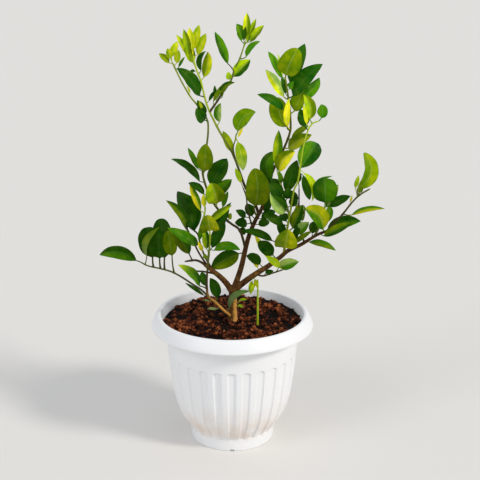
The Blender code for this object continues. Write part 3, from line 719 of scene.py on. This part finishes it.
# Bark that is painted lighter, to tan, on the sunny right side of its foot, as painted light, and darker
# higher up, as the crown's painted shade.
bark, tree, shader = new_finish("bark")
where = out_of(tree, "ShaderNodeTexCoord", output="Object")
x, _, z = where.xyz()
stretched = out_of(tree, "ShaderNodeMapping", {"Vector": where, "Scale": (1, 1, 0.22)})
fissure = noise(stretched, scale=900, detail=6)
patch = noise(where, scale=130, detail=4)
# Painted light: the foot of the trunk turns tan on its right side, which faces the lamp; painted shade
# darkens the wood under the crown.
painted_lit_side = (1 - z.eased(*LIT_SIDE_HEIGHTS)) * x.eased(*LIT_SIDE_WAY) * 0.5
light = fissure * 0.75 + patch * 0.5 + painted_lit_side - z.eased(*SHADED_HEIGHTS) * 0.14 - 0.12
feed(shader, {
    "Base Color": shaded(light, BARK_SHADES),
    "Roughness": 0.8,
    "Specular IOR Level": 0.15,
    "Normal": raised(fissure + patch * 0.5, distance=0.0008, strength=0.8),
})

stems = {"trunk": Stem(TRUNK, TRUNK_THICK, TRUNK_THIN)}
for name, (parent, share, thick, thin, points) in LIMBS.items():
    stems[name] = Stem([stems[parent].at(share)[0], *points], thick, thin)
rails = Rails()
for name, stem in stems.items():
    half = []
    for point, reach in zip(stem.route, stem.reached):
        flare = TRUNK_FLARE * math.exp(-((point.z - FLARE_HEIGHT) / FLARE_REACH) ** 2)
        collar = LIMB_COLLAR * math.exp(-reach / COLLAR_REACH)
        radius = stem.radius(reach / stem.length) * (1 + (flare if name == "trunk" else collar))
        half.append((radius, radius, 0))
    rails.add(stem.route, *frames(stem.route, Vector((0, 1, 0))), half)
trunk = rails.piece("trunk_and_limbs")
run_tree(trunk, skin_tree, {"Sides": TRUNK_SIDES, "Fold": 0.0, "Wave": 0.0, "Material": bark})
grown = trunk.modifiers.new("grown", "REMESH")
grown.mode = "VOXEL"
grown.voxel_size = MERGING_GRID
eased = trunk.modifiers.new("eased", "SMOOTH")
eased.factor = 0.5
eased.iterations = 5
settle(trunk, sharp=80)
trunk.data.materials.clear()
trunk.data.materials.append(bark)
hand_over(trunk, "bark", "trunk")


# ---------------------------------------------------------------------------------------------------
# Shoots: this year's and last year's growth, each a thin round stem that tapers to its tip, brownish
# where it is oldest and bright green at the end, a little swollen where each leaf leaves it.

# name: (parent, share along it, root diameter, tip diameter, age at root, age at tip, points of the route)
SHOOTS = {
    "right_leader": (
        "limb_centre", 1, 4.2, 2.4, 0.95, 0.35,
        [(66, 28, 433), (77, 30, 455), (87, 30, 483), (87, 28, 509), (83, 26, 540), (79, 24, 565)],
    ),
    "left_leader": (
        "limb_centre", 0.38, 4, 2.2, 0.95, 0.15,
        [(12, -6, 339), (0, -12, 351), (-9, -16, 360), (-22, -18, 378), (-33, -16, 396),
         (-41, -14, 419), (-43, -12, 433), (-40, -6, 452), (-37, 0, 471), (-35, 4, 492),
         (-37, 6, 508), (-50, 4, 528), (-61, 0, 543), (-74, -6, 568), (-86, -10, 595)],
    ),
    "tall_leader": (
        "limb_centre", 0.69, 4.4, 2.2, 1, -0.2,
        [(33, 8, 382), (24, 4, 397), (18, 0, 410), (3, -4, 454), (-9, -6, 476), (-22, -8, 500),
         (-36, -12, 532), (-44, -18, 567), (-52, -22, 591), (-55, -24, 607)],
    ),
    "top_twig": (
        "tall_leader", 0.67, 3.2, 2, 0.85, 0.25,
        [(-23, -6, 534), (-15, -2, 546), (-8, 1, 555), (-1, 3, 566), (3, 5, 578), (12, 6, 598), (20, 6, 622)],
    ),
    "young_twig": (
        "tall_leader", 0.37, 2.6, 1.8, 0.75, 0.3,
        [(2, -10, 468), (5, -16, 481), (6, -18, 488)],
    ),
    "mid_twig": (
        "limb_centre", 0.57, 2.6, 1.8, 0.95, 0.6,
        [(26, 4, 359), (23, -2, 377), (21, -8, 394), (16, -12, 409)],
    ),
    "front_shoot": (
        "trunk", 0.38, 4.2, 2.4, 1.7, 0.1,
        [(-12, -22, 216), (-26, -28, 233), (-36, -33, 244), (-38, -35, 264), (-37, -38, 284),
         (-34, -42, 318), (-32, -45, 342), (-34, -47, 360)],
    ),
    "far_left_twig": (
        "front_shoot", 0.33, 3.2, 2.2, 0.8, 0.5,
        [(-46, -26, 251), (-61, -12, 256), (-77, 4, 261), (-93, 20, 264), (-111, 38, 263),
         (-133, 58, 261), (-147, 72, 263)],
    ),
    "left_stub": (
        "limb_left", 1, 3.8, 2.8, 1, 0.9,
        [(-54, -18, 296), (-72, -12, 292)],
    ),
    "lower_stub": (
        "limb_left", 0.62, 3.2, 2.4, 1, 0.9,
        [(-44, -12, 276), (-60, -10, 276)],
    ),
    "left_shoot_a": (
        "limb_left", 0.9, 3.2, 2.2, 0.95, 0.6,
        [(-50, -18, 308), (-58, -14, 324), (-66, -8, 339), (-71, -4, 352)],
    ),
    "left_shoot_b": (
        "limb_left", 0.72, 3.2, 2.2, 0.95, 0.1,
        [(-41, -25, 305), (-49, -22, 330), (-48, -20, 347), (-41, -16, 368), (-40, -14, 380)],
    ),
    "bright_shoot": (
        "limb_right", 0.58, 3.4, 2, 0.4, 0.0,
        [(79, -42, 331), (81, -44, 350), (85, -44, 375), (88, -42, 393), (91, -40, 412),
         (97, -38, 427), (103, -34, 470), (109, -32, 495), (116, -30, 508), (126, -28, 512)],
    ),
    "inner_twig": (
        "bright_shoot", 0.28, 2.4, 1.8, 0.4, 0.1,
        [(81, -38, 388), (75, -34, 398), (75, -28, 409), (71, -22, 419), (67, -16, 433)],
    ),
    "rear_twig": (
        "limb_right", 0.79, 2.8, 2, 0.95, 0.8,
        [(101, -41, 348), (98, -36, 368), (99, -30, 389), (99, -26, 413)],
    ),
    "low_twig": (
        "limb_right", 0.27, 2.8, 2, 1, 0.8,
        [(46, -32, 276), (60, -37, 282), (78, -42, 290)],
    ),
    "cluster_twig": (
        "limb_right", 0.88, 3, 2.2, 0.7, 0.2,
        [(127, -60, 360), (131, -62, 379), (135, -64, 396)],
    ),
    "right_shoot": (
        "limb_right", 1, 3.4, 2.2, 0.98, 0.55,
        [(150, -68, 372), (160, -74, 385), (172, -80, 404), (183, -84, 417), (197, -88, 427)],
    ),
    "sucker": (
        None, 0, 3.4, 2.6, 0.1, 0.1,
        [(39, -26, 184), (39, -26, 219), (39, -25, 268)],
    ),
}

# name: (share along the stem, tip from there, width, tones, then bow, arch, stalk, blunt and roll where they
# matter). The tones are those of the left and right halves, and after > those at the tip. Where the halves'
# tones differ, the lighter is painted light and the darker painted shade on the folded blade.
LEAVES = {
    "left_leader": [
        (0.19, (6, -7, 14), 7, "ol"), (0.25, (13, 7, 29), 7, "m"),
        (0.28, (-6, -14, 39), 26, "lo", 0, 0.15, 7, 0.6), (0.32, (31, 2, 29), 16, "md"),
        (0.34, (-31, 7, 16), 11, "d", -0.08), (0.37, (30, 19, 41), 25, "d"),
        (0.4, (-50, 14, 32), 13, "d", -0.08, 0.1, None, 0, 10),
        (0.44, (5, -8, 47), 22, "o", 0, 0.1, 7, 0.4), (0.45, (-22, 9, 34), 8, "m"),
        (0.68, (-16, -15, 22), 15, "d", 0.1, 0.2), (0.7, (-12, -6, 26), 11, "d"),
        (0.74, (-2, -14, 16), 4, "s", 0, 0.2), (0.83, (-3, -5, 14), 3, "s"), (0.96, (13, 5, 18), 4, "m"),
        (0.98, (8, -6, 24), 9, "sl", 0, 0.05), (0.99, (-20, 5, 14), 9, "lo"),
        (1, (-6, -4, 20), 9, "ls", 0, 0.05), (1, (8, 8, 28), 10, "ls", 0, 0.05),
    ],
    "front_shoot": [
        (0.12, (38, -13, 38), 9, "k>m", 0.2), (0.19, (-20, -10, 1), 4, "k"),
        (0.25, (-9, 10, 36), 15, "d", -0.1), (0.3, (-13, -8, 2), 3, "k"), (0.34, (-36, 10, 19), 5, "d"),
        (0.42, (-42, -15, 43), 15, "md>l", -0.06, 0.15, 12, 0, 10), (0.42, (-8, 14, 22), 11, "d"),
        (0.73, (-8, -14, 0), 8, "o"), (0.75, (-6, 9, 36), 11, "ld"), (0.77, (23, 26, 38), 16, "d"),
        (0.78, (46, -11, 3), 13, "m", 0.13), (0.89, (28, 20, 38), 12, "d"),
        (0.96, (-2, -34, 33), 25, "og", 0, 0.2, 6, 1), (0.98, (33, 6, 37), 8, "d"),
        (1, (34, -8, 33), 10, "ol"),
    ],
    "left_shoot_b": [
        (0.36, (-6, -14, 19), 6, "y"), (0.46, (-48, -20, 32), 17, "m", 0.05, 0.1, 2, 0, 10),
        (0.58, (-33, 36, 59), 30, "d", -0.06, 0.15, 11), (0.87, (-8, -10, -37), 8, "m", 0, 0.2),
        (0.9, (-22, 8, 43), 10, "ym", 0, 0.05), (0.97, (-2, -6, 24), 7, "yl", 0, 0.05),
    ],
    "left_shoot_a": [(0.8, (-31, -32, 58), 13, "od", -0.1)],
    "left_stub": [(0.63, (-30, 13, 41), 17, "bd", -0.05, 0.1, 10)],
    "limb_centre": [
        (0.34, (-51, -13, -20), 23, "do", 0, 0.1, 7), (0.51, (-18, -4, 7), 10, "d"),
        (0.6, (24, 4, 2), 12, "d"), (0.67, (-6, -28, 82), 33, "o", -0.08, 0.1, 22, 0.8),
        (0.64, (-14, 8, 23), 14, "d"), (0.7, (18, 6, 27), 15, "d"), (0.65, (29, 14, 8), 13, "d"),
        (0.8, (34, 26, 5), 15, "d"), (0.95, (8, 12, 48), 19, "dm", 0.2, 0.1, 7, 0.5),
    ],
    "far_left_twig": [
        (0.5, (-9, 8, 66), 19, "o", 0, 0.1, 27, 0.6), (0.64, (-6, 34, 73), 29, "d", 0, 0.1, 18, 0.9),
        (0.7, (-2, -2, 63), 29, "d", 0, 0.1, 17, 0.9), (0.8, (-11, 28, 57), 31, "d", 0, 0.1, 15, 1),
        (0.92, (28, -54, 79), 10, "o", 0.1, 0.1, 20), (1, (-66, 16, 6), 19, "md", -0.12),
    ],
    "tall_leader": [
        (0.39, (-16, 9, 35), 11, "l"), (0.58, (6, 8, 33), 11, "mp", 0.12), (0.72, (12, 17, 15), 5, "d"),
        (0.76, (-39, -14, 44), 20, "d", -0.05), (0.85, (10, 10, 41), 13, "os", -0.08),
        (0.89, (11, 16, 31), 8, "d", 0.2), (0.91, (-11, 9, -3), 5, "d"), (0.94, (-13, 4, 33), 13, "lo"),
        (0.975, (-25, 9, 34), 9, "sl"), (0.985, (18, 4, 34), 12, "ls", 0, 0.05),
        (0.99, (-13, -6, 40), 10, "lo"), (1, (-5, 4, 38), 10, "ys", 0, 0.05),
        (1, (9, 12, 41), 11, "ls", 0, 0.05),
    ],
    "young_twig": [
        (0.91, (11, -12, -46), 15, "l>p", 0, 0.1, None, 0, 10), (0.95, (11, -10, 16), 4, "y"),
        (1, (29, 6, 34), 21, "f", 0.2, 0.05),
    ],
    "mid_twig": [(0.1, (-25, -8, 3), 14, "d"), (0.24, (-21, -5, 13), 11, "d"), (1, (-11, 7, 27), 7, "l")],
    "top_twig": [
        (0.09, (17, 6, 33), 7, "o"), (0.17, (-4, 4, 22), 5, "d"), (0.2, (24, -6, 25), 8, "do", 0.25),
        (0.47, (-4, -8, 15), 8, "l"), (0.53, (26, 4, 24), 18, "ld", 0, 0.1, 2),
        (0.6, (-28, 15, 55), 12, "dm", 0, 0.1, 14), (0.77, (30, 9, 24), 9, "m", 0.12, 0.1, 10),
        (0.95, (17, 9, 37), 8, "lo", 0, 0.05), (0.965, (-12, 7, 28), 14, "m", -0.1),
        (0.98, (27, 2, 25), 12, "lo"), (0.985, (1, -8, 24), 6, "d", 0, 0.05),
        (1, (2, 6, 40), 10, "so", 0, 0.05),
    ],
    "right_leader": [
        (0.32, (40, -25, 26), 19, "og"), (0.41, (32, 25, 16), 9, "o"),
        (0.5, (-18, 25, 45), 26, "o", 0.12, 0.1, 8, 0.7), (0.51, (-3, -10, 49), 9, "y", 0.05),
        (0.66, (19, 3, 34), 21, "o"), (0.69, (-49, -13, 27), 13, "d", -0.05, 0.1, 10),
        (0.75, (46, 30, 35), 16, "dm", -0.12), (0.8, (-34, 13, 42), 14, "sp", 0, 0.1, 8),
        (0.81, (49, -14, 53), 23, "d", 0.05), (0.82, (-10, 9, 30), 7, "d"), (0.93, (27, 20, 59), 20, "d"),
        (0.89, (9, -9, 14), 8, "m"), (0.98, (-26, 12, 41), 12, "m"), (0.99, (-12, 4, 38), 4, "l"),
        (1, (16, -18, 47), 30, "o", 0, 0.15, 5, 0.9),
    ],
    "bright_shoot": [
        (0.05, (4, -30, 38), 30, "og", 0, 0.1, 8, 0.6), (0.08, (-62, -2, 22), 11, "d", -0.05, 0.1, 19),
        (0.12, (-10, 15, 23), 12, "d"), (0.17, (23, 3, 41), 17, "od", 0, 0.1, 10),
        (0.22, (-37, -8, 20), 13, "d"), (0.24, (-10, 16, 9), 13, "d"), (0.6, (16, 6, -43), 11, "d"),
        (0.62, (18, -8, -45), 9, "l", 0.18), (0.63, (26, 41, 29), 28, "md", 0, 0.1, 3, 0.4),
        (0.9, (-11, 7, 29), 17, "d"), (0.92, (-10, -9, 35), 6, "s"), (0.95, (-13, 6, 42), 15, "lo", -0.12),
        (1, (3, 7, 23), 14, "m", -0.1),
    ],
    "inner_twig": [
        (0.12, (-27, -14, 31), 19, "pd", 0.1, 0.1, 4), (0.15, (-13, 1, 24), 10, "d"),
        (0.21, (14, 4, 13), 12, "d"), (0.34, (5, -3, 23), 12, "d"), (0.41, (-22, -16, 28), 19, "d"),
        (0.5, (21, 10, 50), 18, "d"), (0.7, (-4, -10, 25), 7, "m"), (0.6, (-16, 14, 14), 12, "d"),
        (0.98, (25, -4, 33), 19, "oy", 0.13, 0.1, 3, 0.3), (1, (2, 14, 60), 13, "lm"),
    ],
    "rear_twig": [
        (0.35, (7, 7, 26), 7, "p"), (0.4, (0, 11, 22), 13, "m"), (0.5, (7, 8, 14), 14, "o", 0, 0.1, 2),
        (0.55, (-4, -6, 16), 4, "g"), (0.69, (-13, 0, 22), 12, "d"), (1, (-6, 10, 23), 12, "d"),
    ],
    "limb_right": [
        (0.23, (-4, -15, -20), 6, "lg"), (0.25, (5, -17, -14), 5, "g"), (0.31, (-8, 12, 17), 7, "y"),
        (0.36, (-27, 7, 18), 14, "d", -0.1, 0.15), (0.44, (-25, 22, 38), 8, "y"),
        (0.5, (-28, 14, 24), 18, "d", 0, 0.15), (0.65, (27, -11, 46), 14, "pm", 0, 0.1, 28),
        (0.66, (10, -5, 18), 3, "l"), (0.68, (10, -4, 44), 9, "d"), (0.7, (24, -14, 30), 7, "o"),
        (0.82, (41, -11, -12), 10, "om", 0.06, 0.1, 2), (0.87, (3, 16, 20), 12, "d"),
        (0.94, (45, -15, 21), 12, "od"), (0.97, (54, 2, 16), 17, "dm", 0.1),
        (0.98, (-30, -22, 42), 24, "mg", -0.14, 0.1, 5, 0.6),
    ],
    "low_twig": [
        (0.35, (14, -4, 9), 8, "d"), (0.75, (33, -6, 18), 16, "pm", 0.05), (0.95, (-26, -12, 26), 10, "l"),
    ],
    "cluster_twig": [
        (0.35, (14, 20, 29), 11, "m", -0.2), (0.85, (22, 20, 33), 11, "mp"), (0.97, (36, -10, 18), 13, "d"),
        (0.95, (13, 30, 38), 8, "m", 0.42), (1, (-1, 12, 36), 32, "dm", 0, 0.2, 3, 1),
    ],
    "right_shoot": [
        (0.4, (59, -8, 10), 8, "mg", 0.06, 0.1, 12), (0.61, (2, 3, 12), 3, "y"),
        (0.8, (6, 10, 60), 19, "fl", -0.28, 0.1, 10, 0.7), (0.77, (0, -5, 33), 6, "l", 0, 0.1, 14),
        (0.82, (3, -8, 16), 6, "o"),
    ],
    "sucker": [(0.98, (-12, -10, -19), 5, "lg", 0, 0.3)],
    "trunk": [
        (0.64, (16, -4, -2), 6, "l", 0, 0.2, None, 0, 40), (0.7, (22, -5, 7), 6, "l", 0, 0.2, None, 0, 40),
    ],
}

# The way across a shoot at its root, from which its skin is laid out.
STEM_ACROSS = (0.3, 1, 0.1)
STEM_SIDES = 10
# How much thicker a shoot is at its root, and over what length that fades; the same where a leaf leaves it.
SHOOT_COLLAR, SHOOT_COLLAR_REACH = 0.35, 5
LEAF_JOINT, LEAF_JOINT_REACH = 0.2, 2.2
TIP_SHARE = 0.5
STEM_TINTS = (
    (0, (178, 200, 40)), (0.25, (140, 160, 22)), (0.5, (88, 100, 12)), (0.75, (66, 60, 12)),
    (1, (62, 44, 14)), (1.4, (206, 150, 70)),
)


def stem_tint(age):
    """The colour of a shoot's skin, from bright green at age 0 to brown at age 1 and tan beyond it."""
    ages, colours = zip(*STEM_TINTS)
    seen = np.array([paint(*colour) for colour in colours])
    return [float(np.interp(age, ages, column)) for column in seen.T]


stem_skin, tree, shader = new_finish("stem_skin")
where = out_of(tree, "ShaderNodeTexCoord", output="Object")
tint = out_of(tree, "ShaderNodeAttribute", output="Color", attribute_name="tint")
fleck = noise(where, scale=500, detail=5)
feed(shader, {
    "Base Color": out_of(tree, "ShaderNodeHueSaturation", {"Value": fleck * 0.9 + 0.55, "Color": tint}),
    "Roughness": fleck * 0.3 + 0.35,
    "Specular IOR Level": 0.25,
    "Normal": raised(fleck, distance=0.0005, strength=0.5),
})

for name, (parent, share, thick, thin, old, young, points) in SHOOTS.items():
    start = [stems[parent].at(share)[0]] if parent else []
    stem = stems[name] = Stem([*start, *points], thick, thin)
    joints = [leaf[0] for leaf in LEAVES.get(name, [])]
    half, tints = [], []
    for reach in stem.reached:
        share = reach / stem.length
        collar = SHOOT_COLLAR * math.exp(-reach / SHOOT_COLLAR_REACH) if parent else 0
        near = [math.exp(-(((share - joint) * stem.length / LEAF_JOINT_REACH) ** 2)) for joint in joints]
        radius = stem.radius(share) * (1 + collar) * (1 + LEAF_JOINT * max(near, default=0))
        half.append((radius, radius, 0))
        tints.append(stem_tint(old + (young - old) * share))
    half[-1] = tuple(v * TIP_SHARE for v in half[-1])
    rails = Rails()
    rails.add(stem.route, *frames(stem.route, Vector(STEM_ACROSS)), half, tints, tints)
    shoot = rails.piece(name + "_stem")
    run_tree(shoot, skin_tree, {"Sides": STEM_SIDES, "Fold": 0.0, "Wave": 0.0, "Material": stem_skin})
    settle(shoot, sharp=60)
    hand_over(shoot, "young_stem", name)


# ---------------------------------------------------------------------------------------------------
# Leaves: lemon leaves, each an oval blade on a short stalk, folded a little along its midrib, arched to its
# pointed tip and glossy on top. Old ones are deep green; the lime and yellow tones are partly the newest
# leaves' own colour and partly painted light that shines through backlit leaves.

# The lime, yellow and pale tones carry painted light that shines through backlit leaves, besides the young
# leaves' own colour.
LEAF_TONES = {
    "d": (28, 74, 4), "m": (66, 118, 2), "o": (94, 118, 0), "l": (146, 174, 2), "y": (230, 222, 26),
    "g": (158, 168, 4), "s": (186, 196, 12), "p": (150, 178, 84), "k": (104, 122, 74), "f": (104, 142, 2),
    "b": (70, 88, 2),
}
# The leaves that are further along these stems than a share of them are so many times as light.
PALER = {"right_leader": 1.75, "top_twig": 1.55, "left_leader": 1.3, "tall_leader": 1.2, "bright_shoot": 1.4}
PALER_BEYOND = 0.45
TONE_SPREAD = (0.9, 1.1)

# A stalk is this long, or this share of a small leaf. It is as thick as the blade's width allows. One that
# is longer is thicker too, sways to one side and is partly brown.
STALK_LENGTH = 7
STALK_MOST = 0.22
STALK_HALF = 1
STALK_HALF_LEAST, STALK_HALF_BY_WIDTH = 0.35, 0.025
LONG_STALK = 1.25
FOOT_SWELL = 0.45
STALK_BOW = 0.25
STALK_SWAY, SWAY_TURNS = 2.4, 40
STALK_STEPS = 4
STALK_AGE, STALK_TINT = 0.8, 0.7

BLADE_HALF_THICK = 0.32
BLADE_EDGE = 0.15
BLADE_STEPS = 20
BLADE_SIDES = 16
BLADE_BREADTH = 1.12
BLADE_TWIST = 0.12
TIP_THINNING = 0.7
LEAF_FOLD = 0.28
MARGIN_WAVE = 0.07
BLADE_OUTLINE = (
    (0, 0.06), (0.04, 0.26), (0.11, 0.55), (0.21, 0.81), (0.32, 0.95), (0.44, 1), (0.57, 0.96), (0.7, 0.83),
    (0.81, 0.62), (0.9, 0.38), (0.96, 0.17), (1, 0.02),
)
# The way a leaf's top faces, to the front and a little up, and the way a roll turns it, to the right or up.
FRONT_FACE = Vector((0, -math.cos(math.radians(30)), math.sin(math.radians(30))))
ROLL_SENSE = Vector((1, 0, 2))

SIDE_VEINS = 9
VEIN_SLANT = 2.4
LEAF_SHEEN = (210, 235, 90)

lemon_leaf, tree, shader = new_finish("lemon_leaf")
where = out_of(tree, "ShaderNodeTexCoord", output="Object")
tint = out_of(tree, "ShaderNodeAttribute", output="Color", attribute_name="tint")
across_blade, top_side, along_blade = (
    out_of(tree, "ShaderNodeAttribute", output="Fac", attribute_name=name)
    for name in ("ring_x", "ring_y", "along")
)
mottle = noise(where, scale=90, detail=5)
from_rib = across_blade.size()
side_vein = (along_blade * SIDE_VEINS - from_rib * VEIN_SLANT).worked("FRACT")
side_vein = 1 - ((side_vein - 0.5).size() * 2).eased(0.0, 0.28)
rib = 1 - from_rib.eased(0.03, 0.11)
vein = (rib + side_vein * 0.3).worked("MINIMUM", 1.0)
rim = from_rib.eased(0.8, 1.0)
under = 1 - top_side.eased(-0.05, 0.05)
colour = {
    "Hue": 0.56 - mottle * 0.12,
    "Saturation": 1 - under * 0.25 - vein * 0.1,
    "Value": mottle * 1.1 + 0.45 + vein * 0.28 - rim * 0.18 + under * 0.18,
    "Color": tint,
}
feed(shader, {
    "Base Color": out_of(tree, "ShaderNodeHueSaturation", colour),
    "Roughness": mottle * 0.2 + under * 0.3 + 0.28,
    "Specular IOR Level": 0.16,
    "Specular Tint": paint(*LEAF_SHEEN),
    "Normal": raised(vein * -0.6 + mottle * 0.25, distance=0.0008, strength=0.6),
})

blade_places, blade_widths = np.array(through(BLADE_OUTLINE, steps=4)).T
chance = random.Random(11)


def tone_of(code, shift):
    """The colour of a tone, made so many times as light."""
    return Vector([min(v * shift, 1) for v in paint(*LEAF_TONES[code])[:3]] + [1.0])


def lay_leaf(
    rails, stem, share, offset, width, tones, bow=0.0, arch=0.1, stalk=None, blunt=0.0, roll=0, paler=1.0
):
    """Adds a leaf's rail: out of the stem, along its stalk, and then along its midrib to the tip.

    Arch lifts the midrib off the straight line and bow bends it sideways, as shares of its length. Blunt
    rounds off the outline of the outer half, and roll turns the blade about its midrib, in degrees. Paler
    is how many times as light the tones are.
    """
    point, direction, radius = stem.at(share)
    reach = Vector(offset)
    tip = point + reach
    away = reach - direction * reach.dot(direction)
    away = direction if share == 1 else away.normalized()
    foot = point + away * (radius * 0.5)
    stalk = stalk or min(STALK_LENGTH, STALK_MOST * reach.length)
    long_stalk = stalk > STALK_LENGTH
    lean = away * min(1, STALK_LENGTH / stalk)
    base = foot + (lean + (tip - foot).normalized()).normalized() * stalk
    axis = (tip - base).normalized()
    length = (tip - base).length
    face = (FRONT_FACE - axis * FRONT_FACE.dot(axis)).normalized()
    side = axis.cross(face)
    if side.dot(ROLL_SENSE) < 0:
        side = -side
    turn = math.radians(roll)
    normal = face * math.cos(turn) + side * math.sin(turn)
    leftward = normal.cross(axis)

    stalk_half = min(STALK_HALF, STALK_HALF_LEAST + width * STALK_HALF_BY_WIDTH)
    stalk_half *= LONG_STALK if long_stalk else 1
    middle, half, along = [], [], []
    bend = foot + (away + (tip - foot).normalized()) * (stalk * STALK_BOW)
    if long_stalk:
        bend += leftward * (STALK_SWAY * math.sin(SWAY_TURNS * share))
    for i in range(STALK_STEPS):
        t = i / STALK_STEPS
        middle.append(foot * (1 - t) ** 2 + bend * 2 * t * (1 - t) + base * t**2)
        swollen = stalk_half * (1 + FOOT_SWELL * (1 - t) ** 3)
        half.append((swollen, swollen, 0))
        along.append(0.0)

    for i in range(BLADE_STEPS + 1):
        t = 0.5 - 0.5 * math.cos(math.pi * i / BLADE_STEPS)
        curve = (normal * arch + leftward * bow) * (4 * length * t * (1 - t))
        middle.append(base + axis * (length * t) + curve)
        pointed = float(np.interp(t, blade_places, blade_widths))
        oval = math.sin(math.acos(1 - 2 * t))
        wide = (pointed + (oval - pointed) * blunt * min(2 * t, 1)) * width * BLADE_BREADTH / 2
        wide = max(wide, stalk_half if t < 0.1 else BLADE_EDGE)
        thick = stalk_half + (BLADE_HALF_THICK - stalk_half) * min(t * 8, 1)
        half.append((wide, thick * (1 - TIP_THINNING * t**6), min(t * 10, 1)))
        along.append(t)

    frame_across, frame_up = frames(middle, axis.cross(normal))
    twist = chance.uniform(-BLADE_TWIST, BLADE_TWIST)
    for i, t in enumerate(along):
        spin = Matrix.Rotation(twist * t, 3, axis)
        frame_across[i], frame_up[i] = spin @ frame_across[i], spin @ frame_up[i]
    if frame_up[-1].dot(normal) < 0:
        frame_up = [-v for v in frame_up]

    shift = chance.uniform(*TONE_SPREAD) * paler
    root_tones, _, tip_tones = tones.partition(">")
    # Where the halves' tones differ, they are painted light on one half and painted shade on the other.
    halves = []
    for pick in (0, -1):
        low, high = tone_of(root_tones[pick], shift), tone_of((tip_tones or root_tones)[pick], shift)
        tints = [low.lerp(high, t**3) for t in along]
        if long_stalk:
            tints[:STALK_STEPS] = [low.lerp(Vector(stem_tint(STALK_AGE)), STALK_TINT)] * STALK_STEPS
        halves.append(tints)
    if frame_across[len(along) // 2].x < 0:
        halves.reverse()
    rails.add(middle, frame_across, frame_up, half, *halves, along, chance.uniform(0, 6.28))


for name, leaves in LEAVES.items():
    rails = Rails()
    for leaf in leaves:
        lay_leaf(rails, stems[name], *leaf, paler=PALER.get(name, 1) if leaf[0] > PALER_BEYOND else 1)
    foliage = rails.piece(name + "_leaves")
    bent = {"Fold": LEAF_FOLD, "Wave": MARGIN_WAVE}
    run_tree(foliage, skin_tree, {"Sides": BLADE_SIDES, **bent, "Material": lemon_leaf})
    settle(foliage, sharp=80)
    own = [node for node in frame["nodes"] if node.startswith(name + "_leaf_")]
    carrier = "trunk" if name in LIMBS else name
    hand_over(foliage, "leaf_green", carrier, *own)
